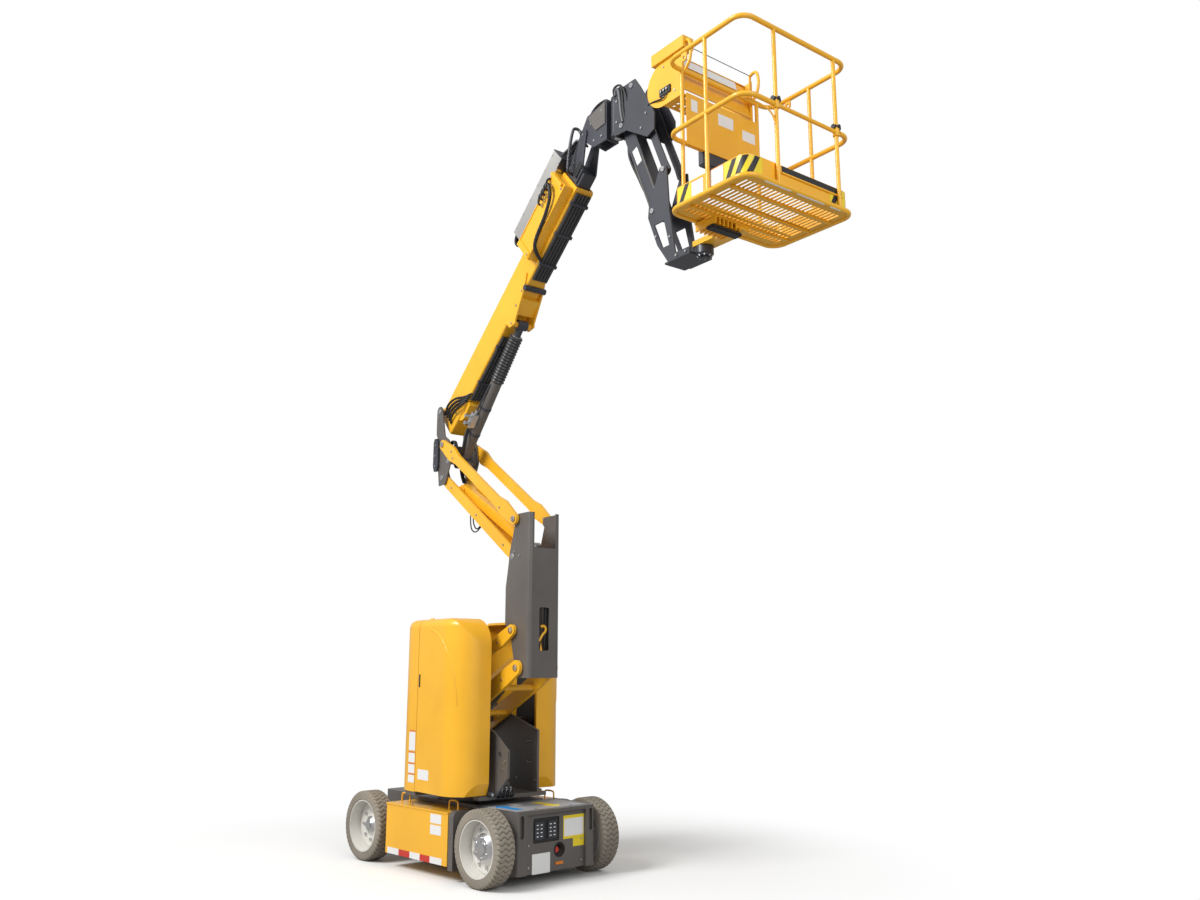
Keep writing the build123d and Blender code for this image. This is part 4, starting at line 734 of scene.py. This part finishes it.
def boom_details():
    """Foot, bolts and hoses of the boom, and the hose panel on its side."""
    foot = Kit("boom_foot", "yellow", "main_boom")
    outline = [(0.1, -0.236), (0.34, -0.236), (0.315, -0.285), (0.17, -0.3), (0.125, -0.275)]
    foot.prism(outline, -0.074, 0.074).done()
    arm_bolts("boom_bolts", "main_boom", ((0.13, -0.05), (0.13, -0.17)), 0.09)
    arm_bolts("ear_bolts", "main_boom", ((1.27, -0.325), (1.42, -0.262), (1.56, -0.235)), 0.105)
    tube = Kit("ear_tube", "charcoal", "main_boom")
    tube.rod((1.605, -0.108, -0.252), (1.605, 0.108, -0.252), 0.026, 28).done()
    for i in range(5):
        y = -0.062 + 0.031 * i
        for part, path in UNDER_HOSES.items():
            pipe(f"under_hose_{part}_{i}", [(s, y, n) for s, n in path], 0.0152, "sleeve", "main_boom")
    clamps = Kit("hose_clamps", "charcoal", "main_boom")
    for s in (0.55, 0.95, 1.85, 2.15, 2.45):
        clamps.box((s, -0.088, -0.277), (s + 0.03, 0.088, -0.2395), 0.004)
    clamps.done()
    lip = Kit("panel_lip", "yellow", "main_boom")
    for n in (-0.198, 0.05):
        lip.box((1.842, -0.176, n), (2.566, PANEL_FACE, n + 0.012), 0.002)
    lip.box((2.535, -0.19, -0.16), (2.566, PANEL_FACE, 0.062), 0.003)
    lip.box((1.842, -0.182, -0.19), (1.9, PANEL_FACE, 0.058), 0.003).done()
    fittings = Kit("panel_fittings", "silver", "main_boom")
    for s in PANEL_PORTS:
        fittings.rod((s, PANEL_FACE, PANEL_PORT), (s, -0.186, PANEL_PORT), 0.015, HEX)
        fittings.rod((s, -0.185, PANEL_PORT), (s, -0.198, PANEL_PORT), 0.01, 16)
    for s, low, high in ((1.87, -0.1815, -0.188), (2.2, PANEL_FACE, -0.178), (2.52, PANEL_FACE, -0.178)):
        fittings.rod((s, low, -0.165), (s, high, -0.165), 0.01, HEX)
    fittings.done()
    pipe("panel_hose", [
        (2.472, -0.197, -0.02), (2.472, -0.215, -0.02), (2.47, -0.218, -0.05), (2.42, -0.205, -0.12),
        (2.25, -0.192, -0.165), (2.05, -0.188, -0.18), (1.95, -0.176, -0.22), (1.89, -0.085, -0.25)],
        0.016, "black", "main_boom")
    for i, s in enumerate(PANEL_PORTS[:4]):
        pipe(f"panel_loop_{i}", [
            (s, -0.197, PANEL_PORT), (s, -0.212, -0.018), (s + 0.03, -0.216, 0.005), (s + 0.06, -0.208, 0.035),
            (s + 0.075, -0.188, 0.052), (s + 0.08, -0.165, 0.06)], 0.01, "black", "main_boom")
    for i in range(4):
        n = -0.035 - 0.045 * i
        pipe(f"foot_hose_{i}", [
            (0.42 - 0.03 * i, -0.08, -0.236), (0.36 - 0.02 * i, -0.11, -0.225), (0.25, -0.122 - 0.004 * i, n - 0.06),
            (0.14, -0.125, n), (0.06, -0.118, n + 0.01), (0.01, -0.098, n - 0.01)], 0.011, "black", "main_boom")


def tray_details():
    """Chain, end and rivets of the hose tray, and guard, sleeve and hoses of the boom's head."""
    chain = Kit("tray_chain", "black", "fly")
    for i in range(13):
        turn = pi / 2 + pi * i / 12
        s, n = 1.872 + 0.068 * cos(turn), 0.155 + 0.062 * sin(turn)
        chain.box((s - 0.015, -0.13, n - 0.015), (s + 0.015, -0.02, n + 0.015), 0.004)
    for i in range(15):
        s = 1.885 + 0.05 * i
        for n in (0.202, 0.078):
            chain.box((s, -0.13, n), (s + 0.042, -0.02, n + 0.03), 0.004)
    chain.done()
    cover = Kit("tray_end", "charcoal", "fly")
    cover.box((2.6925, -0.156, 0.064), (2.698, 0.068, 0.246), 0.002)
    cover.box((2.6, -0.156, 0.0605), (2.6985, 0.068, 0.0695), 0.002).done()
    rivets = Kit("tray_rivets", "silver", "fly")
    for i in range(6):
        s = 1.92 + 0.145 * i
        for n in (0.085, 0.225):
            rivets.rod((s, -0.1498, n), (s, -0.1535, n), 0.006, 12).rod((s, 0.0618, n), (s, 0.0655, n), 0.006, 12)
    rivets.done()
    pipe("head_guard", [
        (2.64, -0.078, -0.07), (2.64, -0.12, -0.07), (2.66, -0.135, -0.06), (2.8, -0.135, 0.06), (2.93, -0.135, 0.14),
        (2.95, -0.12, 0.15), (2.955, -0.078, 0.14), (2.94, -0.074, 0.09)], 0.013, "charcoal", "fly")
    sleeve = Kit("head_sleeve", "black", "fly")
    for i in range(7):
        s = 2.645 + 0.018 * i
        sleeve.box((s, -0.088, -0.155), (s + 0.011, -0.0755, -0.085), 0.003)
    sleeve.box((2.64, -0.082, -0.15), (2.775, -0.0755, -0.09), 0.002).done()
    arm_bolts("head_bolts", "fly", ((2.66, 0), (2.72, -0.02), (2.95, 0.06)), 0.076)
    for i in range(6):
        y = -0.05 + 0.02 * i
        pipe(f"head_hose_{i}", [
            (2.695, y - 0.05, 0.175 - 0.008 * i), (2.75, y - 0.02, 0.18), (2.8, y * 0.8, 0.19 + 0.004 * i),
            (2.85, y * 0.7, 0.18), (2.87, y * 0.7, 0.14), (2.86, y * 0.7, 0.085)],
            0.009, "black" if i % 2 else "hose", "fly")


# Nose and jib

def nose_details():
    """Bolts, side plates and hoses of the nose."""
    arm_bolts("nose_bolts", "nose", ((0.1, 0.06), (0.24, 0.12), (0.24, -0.11), (0.14, -0.11)), 0.063)
    plates = Kit("nose_plate", "grey", "nose")
    for low, high in ((-0.071, -0.0632), (0.0632, 0.071)):
        plates.prism([(0.06, 0.125), (0.29, 0.175), (0.29, -0.02), (0.16, -0.03)], low, high)
    plates.done()
    for i in range(5):
        y = -0.044 + 0.022 * i
        pipe(f"nose_hose_{i}", [
            (0.02, y, 0.075), (0.06, y, 0.165), (0.14, y, 0.205), (0.22, y, 0.212 + 0.002 * i),
            (0.275, y * 0.8, 0.21), (0.29, y * 0.7, 0.188)], 0.009, "black", "nose")


def jib_details():
    """Pins, hoses, edges and bolts of the jib, and the rotator under its support."""
    pin_ends("pin_ends_jib_base", "jib_base", 0.022, CAP_HEIGHT,
             ((0.556, -0.175, JIB_Y), (0.684, 0.115, JIB_Y)), place=NOSE)
    boss = Kit("swing_caps", "silver", "jib_base")
    boss.rod((0, 0, 0.1838), (0, 0, 0.189), 0.03, 32).rod((0, 0, -0.1642), (0, 0, -0.172), 0.03, 32).done()
    for i in range(4):
        y = -0.045 + 0.03 * i
        pipe(f"base_hose_{i}", [
            (0.06, y, 0.14), (0.1, y, 0.165), (0.15, y * 1.1, 0.165), (0.19, y * 1.1, 0.12), (0.185, y, 0.05),
            (0.13, y * 0.8, 0.01), (0.05, y * 0.5, 0)], 0.01, "black", "jib_base")
    for i in range(3):
        y = -0.112 - 0.012 * (i % 2)
        pipe(f"base_side_hose_{i}", [
            (0.095 + 0.015 * i, y + 0.01, 0.12), (0.1 + 0.02 * i, y, 0.165), (0.13 + 0.03 * i, y, 0.15),
            (0.16 + 0.02 * i, y, 0.04), (0.17 + 0.02 * i, y, -0.08), (0.18 + 0.02 * i, y + 0.012, -0.15)],
            0.012, "black" if i != 1 else "hose", "jib_base")
    pipe("base_loop", [
        (0.1, -0.105, 0.1), (0.09, -0.125, 0.15), (0.12, -0.13, 0.185), (0.19, -0.13, 0.175), (0.24, -0.125, 0.1),
        (0.25, -0.108, 0.02)], 0.009, "black", "jib_base")
    arm_bolts("jib_base_bolts", "jib_base", ((0.5, 0.06), (0.5, -0.12), (0.8, -0.3), (0.86, -0.2)), JIB_Y, NOSE)
    plate = Kit("jib_blank_plate", "white", "jib_arm")
    plate.box((0.245, -0.0562, -0.028), (0.395, -0.0551, 0.03)).done()
    rails = Kit("jib_edges", "grey", "jib_arm")
    for z in (-0.05, 0.05):
        for low, high in ((-0.0585, -0.0549), (0.0549, 0.0585)):
            rails.box((0.36, low, z - 0.007), (0.8, high, z + 0.007), 0.0015)
    rails.done()
    pipe("jib_cable", [
        (0.1, -0.02, -0.056), (0.16, -0.02, -0.095), (0.28, -0.02, -0.105), (0.44, -0.02, -0.088),
        (0.6, -0.02, -0.078), (0.74, -0.02, -0.058)], 0.012, "black", "jib_arm")
    pin_ends("pin_ends_support", "platform_support", 0.022, CAP_HEIGHT,
             ((0.919, -1.031, JIB_Y), (1.047, -0.741, JIB_Y)))
    arm_bolts("support_bolts", "platform_support",
              ((0.961, -1.25), (1.115, -1.3), (1.18, -1.467), (1.28, -1.467)), JIB_Y)
    motor = Kit("rotator_motor", "charcoal", "platform_support", BASKET)
    motor.rod((0, 0, -0.0555), (0, 0, -0.072), 0.06, 36, 0.054).rod((0, 0, -0.071), (0, 0, -0.084), 0.03, HEX).done()
    ring = Kit("rotator_bolts", "silver", "platform_support", BASKET)
    for turn in around(8):
        x, y = 0.05 * cos(turn), 0.05 * sin(turn)
        ring.rod((x, y, -0.055), (x, y, -0.077), 0.007, HEX)
    ring.done()


# Basket

FLOOR, TOE_REAR, TOE_FRONT, TOE_SIDE, TOE_CORNER = 0.0574, 0.2139, 0.9139, 0.4962, 0.081


def toe_path(distance):
    """Point and outward direction on the toe board's outer face, from the right rear corner forwards."""
    right, front = TOE_FRONT - TOE_REAR - 2 * TOE_CORNER, 2 * (TOE_SIDE - TOE_CORNER)
    corner = right + TOE_CORNER * pi / 2
    x, y, turn = TOE_FRONT - TOE_CORNER, TOE_CORNER - TOE_SIDE, -pi / 2
    if distance < right:
        x += distance - right
    elif distance < corner:
        turn += (distance - right) / TOE_CORNER
    elif distance < corner + front:
        y, turn = y + distance - corner, 0
    else:
        y, turn = -y, (distance - corner - front) / TOE_CORNER
    out = Vector((cos(turn), sin(turn), 0))
    return Vector((x, y, 0)) + TOE_CORNER * out, out


def toe_patch(kit, start, end, z0, z1, lean=0, proud=PLATE_PROUD, steps=6):
    """A thin leaning patch that follows the toe board."""
    def corner(i, k, depth):
        point, out = toe_path(start + (end - start) * i / steps + lean * k / steps)
        return kit.mesh.verts.new(point + out * depth + Vector((0, 0, z0 + (z1 - z0) * k / steps)))

    count = range(steps + 1)
    back, face = [[[corner(i, k, depth) for k in count] for i in count] for depth in (PLATE_BACK, proud)]
    for i in range(steps):
        for k in range(steps):
            for grid in (back, face):
                kit.mesh.faces.new((grid[i][k], grid[i + 1][k], grid[i + 1][k + 1], grid[i][k + 1]))
        for k in (0, steps):
            kit.mesh.faces.new((back[i][k], back[i + 1][k], face[i + 1][k], face[i][k]))
            kit.mesh.faces.new((back[k][i], back[k][i + 1], face[k][i + 1], face[k][i]))
    return kit


STRIPE_WIDTH, STRIPE_LEAN, STRIPE_START = 0.042, 0.06, 0.012


def hazard(name, start, end, z0, z1):
    """Leaning dark stripes on a yellow patch of the toe board."""
    ground = Kit(f"hazard_{name}", "lemon", "basket")
    toe_patch(ground, start, end, z0, z1, 0, 0.0012, 12).done()
    stripes = Kit(f"hazard_stripes_{name}", "black", "basket")
    at = start + STRIPE_START
    while at + STRIPE_WIDTH + STRIPE_LEAN <= end:
        toe_patch(stripes, at, at + STRIPE_WIDTH, z0, z1, STRIPE_LEAN, 0.0022)
        at += 2 * STRIPE_WIDTH
    stripes.done()


PANEL_X, GUARD_Y, BAR_X, BAR_Z = 0.2199, 0.338, 0.931, 0.644


def basket_details():
    """Stripes, plates, sensor box, guards, bar ends and the floor's underside."""
    low, high = FLOOR + 0.022, FLOOR + 0.148
    for name, start, end in (("corner", 0.42, 0.72), ("rear", -0.02, 0.11), ("far", 1.36, 1.52)):
        hazard(name, start, end, low + 0.006, high - 0.006)
    plates = Kit("blank_plates_toe", "white", "basket")
    toe_patch(plates, 0.115, 0.225, low + 0.008, high - 0.018)
    toe_patch(plates, 0.255, 0.41, low + 0.012, high - 0.006).done()
    heads = Kit("plate_heads_toe", "amber", "basket")
    toe_patch(heads, 0.115, 0.225, high - 0.018, high - 0.012)
    toe_patch(heads, 0.255, 0.41, high - 0.006, high).done()
    plates = Kit("blank_plates_panel", "white", "basket")
    for y0, y1, z0, z1 in ((-0.31, -0.25, 0.86, 0.95), (-0.05, 0.1, 0.84, 0.93), (0.19, 0.32, 0.8, 0.88)):
        plates.box((PANEL_X, y0, z0), (PANEL_X + PLATE_PROUD, y1, z1))
    plates.prism([(0.1295, 1.256), (0.112, 1.326), (0.1134, 1.3264), (0.1309, 1.2564)], -0.3, 0.24).done()
    slot = Kit("toe_slot", "black", "basket")
    slot.box((TOE_FRONT + 0.0002, -0.18, FLOOR + 0.102), (TOE_FRONT + 0.0014, 0.405, FLOOR + 0.147)).done()
    lip = Kit("toe_lip", "yellow", "basket")
    lip.box((TOE_FRONT + 0.0002, -0.19, FLOOR + 0.09), (TOE_FRONT + 0.01, 0.415, FLOOR + 0.103), 0.003).done()
    box = Kit("sensor_box", "charcoal", "basket")
    box.box((0.15, -0.19, 0.5), (0.2135, 0.05, 0.625), 0.008)
    box.box((0.14, -0.15, 0.53), (0.151, 0.01, 0.6), 0.004).done()
    pipe("trip_wire", [
        (0.172, -0.3, 1.395), (0.175, 0.02, 1.388), (0.178, GUARD_Y, 1.385)], 0.003, "charcoal", "basket")
    posts = Kit("guard_posts", "yellow", "basket")
    for name, y in (("right", -GUARD_Y), ("left", GUARD_Y)):
        posts.box((0.166, y - 0.01, 1.0), (0.178, y + 0.01, 1.395), 0.003)
        pipe(f"guard_{name}", [
            (0.172, y, 1.16), (0.235, y, 1.2), (0.262, y, 1.29), (0.25, y, 1.385), (0.205, y, 1.405),
            (0.172, y, 1.385)], 0.012, "yellow", "basket")
    posts.done()
    ends = Kit("bar_ends", "black", "entry_bar")
    for y in (-0.23, 0.36):
        ends.rod((BAR_X, y - 0.032, BAR_Z), (BAR_X, y + 0.032, BAR_Z), 0.0185, 24)
        ends.rod((BAR_X, y, BAR_Z), (0.963, y, BAR_Z), 0.013, 20)
    ends.done()
    pipe("mid_brace", [
        (0.86, -0.455, 0.611), (0.89, -0.4, 0.6), (0.915, -0.31, 0.575), (0.929, -0.25, 0.53), (0.931, -0.243, 0.47)],
        0.006, "yellow", "basket")
    strips = Kit("ring_strips", "white", "basket")
    for y0, y1 in ((-0.36, -0.12), (-0.06, 0.2), (0.26, 0.36)):
        strips.box((0.925, y0, FLOOR - 0.0182), (0.937, y1, FLOOR - 0.016), 0.0005)
    strips.done()
    beams = Kit("floor_beams", "yellow", "basket")
    for x in (0.37, 0.56, 0.75):
        beams.box((x - 0.012, -0.47, FLOOR - 0.022), (x + 0.012, 0.47, FLOOR - 0.0035), 0.003)
    beams.done()
    ribs = Kit("bracket_ribs", "yellow", "basket")
    for i in range(7):
        y = -0.26 + 0.038 * i
        ribs.box((0.185, y, -0.02), (0.385, y + 0.012, 0.04), 0.002)
    ribs.box((0.185, -0.27, 0.03), (0.385, 0.01, 0.0385), 0.002).done()
    foot = Kit("bracket_foot", "black", "basket")
    foot.box((0.3, -0.275, -0.046), (0.375, 0.005, -0.019), 0.008).done()


def console_details():
    """Switch panels, grips, bolts and lead of the console."""
    panel = Kit("console_panel", "black", "basket")
    panel.box((-0.1, -0.34, 1.33), (0.155, -0.285, 1.3425), 0.003)
    panel.box((-0.06, -0.362, 1.07), (0.06, -0.3502, 1.13), 0.004).done()
    grips = Kit("console_grips", "silver", "basket")
    for x in (-0.03, 0, 0.03):
        grips.rod((x, -0.362, 1.1), (x, -0.374, 1.1), 0.008, 16)
    grips.done()
    bolts = Kit("console_bolts", "silver", "basket")
    for x in (-0.02, 0.1):
        for z in (1.06, 1.3):
            for side in (-1, 1):
                bolts.rod((x, side * 0.3502, z), (x, side * 0.357, z), 0.008, HEX)
    bolts.done()
    pipe("console_lead", [
        (0.02, -0.356, 1.075), (0, -0.365, 1.045), (-0.06, -0.362, 1.05), (-0.14, -0.355, 1.075),
        (-0.2, -0.345, 1.08)], 0.006, "black", "basket")


chassis_end()
deck_marks()
rear_lugs()
turntable_details()
for side in (-1, 1):
    battery_side(side)
    hood_details(side)
tower_pins()
riser_details()
lower_tower_details()
upper_tower_details()
bellows()
lift_details()
boom_details()
tray_details()
nose_details()
jib_details()
basket_details()
console_details()


# Camera, floor and light

CAMERA_PLACE = Vector((7.536, -5.606, 1.645))
CAMERA_YAW, CAMERA_PITCH, CAMERA_LENS, SENSOR_WIDTH = radians(43.06), radians(11.7), 31.27, 36
FLOOR_REACH, FADE_START, FADE_END, FLOOR_ROUGHNESS = 60, 1.4, 4.2, 0.9
FLOOR_BOUNCED, FLOOR_SEEN = (0.42, 0.42, 0.42, 1), (0.92, 0.92, 0.91, 1)
WHITE, WORLD_STRENGTH = (1, 1, 1, 1), 0.5


def aim(thing, place, ahead):
    thing.location = place
    thing.rotation_euler = ahead.to_track_quat("-Z", "Y").to_euler()
    scene.collection.objects.link(thing)


def add_camera():
    data = bpy.data.cameras.new("camera")
    data.sensor_width = SENSOR_WIDTH
    data.sensor_fit = "HORIZONTAL"
    data.lens = CAMERA_LENS
    camera = bpy.data.objects.new("camera", data)
    ahead = Vector((-cos(CAMERA_YAW) * cos(CAMERA_PITCH), sin(CAMERA_YAW) * cos(CAMERA_PITCH),
                    sin(CAMERA_PITCH)))
    aim(camera, CAMERA_PLACE, ahead)
    scene.camera = camera


def add_floor():
    """Pale floor that holds the shadow near the lift and fades into the white background."""
    data = bpy.data.meshes.new("floor")
    corners = ((-1, -1), (1, -1), (1, 1), (-1, 1))
    data.from_pydata([(FLOOR_REACH * x, FLOOR_REACH * y, 0) for x, y in corners], [], [(0, 1, 2, 3)])
    floor = bpy.data.objects.new("floor", data)
    material = bpy.data.materials.new("floor")
    material.use_nodes = True
    tree = material.node_tree
    shader = tree.nodes["Principled BSDF"]
    shader.inputs["Roughness"].default_value = FLOOR_ROUGHNESS
    path = add_node(tree, "LightPath")
    colour = add_node(tree, "Mix", {"A": FLOOR_BOUNCED, "B": FLOOR_SEEN}, data_type="RGBA")
    place = add_node(tree, "TexCoord")
    distance = add_node(tree, "VectorMath", operation="LENGTH")
    fade = add_node(tree, "MapRange", {"From Min": FADE_START, "From Max": FADE_END},
                    interpolation_type="SMOOTHSTEP")
    seen = add_node(tree, "Math", operation="MULTIPLY")
    white = add_node(tree, "Emission")
    blend = add_node(tree, "MixShader")
    wire(tree, (path, "Is Camera Ray", colour, "Factor"), (colour, "Result", shader, "Base Color"),
         (place, "Object", distance, 0), (distance, "Value", fade, "Value"), (fade, "Result", seen, 0),
         (path, "Is Camera Ray", seen, 1), (seen, "Value", blend, "Fac"), (shader, "BSDF", blend, 1),
         (white, "Emission", blend, 2), (blend, "Shader", tree.nodes["Material Output"], "Surface"))
    data.materials.append(material)
    scene.collection.objects.link(floor)


def add_light(name, place, target, size, power):
    data = bpy.data.lights.new(name, "AREA")
    data.size = size
    data.energy = power
    aim(bpy.data.objects.new(name, data), place, Vector(target) - Vector(place))


def add_world():
    """Soft light from all round in front of a plain white background."""
    world = bpy.data.worlds.new("studio")
    scene.world = world
    world.use_nodes = True
    tree = world.node_tree
    soft = tree.nodes["Background"]
    soft.inputs["Color"].default_value = WHITE
    soft.inputs["Strength"].default_value = WORLD_STRENGTH
    plain = add_node(tree, "Background", {"Color": WHITE})
    path = add_node(tree, "LightPath")
    blend = add_node(tree, "MixShader")
    wire(tree, (path, "Is Camera Ray", blend, "Fac"), (soft, "Background", blend, 1), (plain, "Background", blend, 2),
         (blend, "Shader", tree.nodes["World Output"], "Surface"))


add_camera()
add_floor()
add_light("key", (-0.5, -10, 10), (0.8, 0, 2.6), 5, 1500)
add_light("fill", (11, -2, 6), (1, 0, 3), 6, 300)
add_world()
scene.view_settings.view_transform = "Standard"
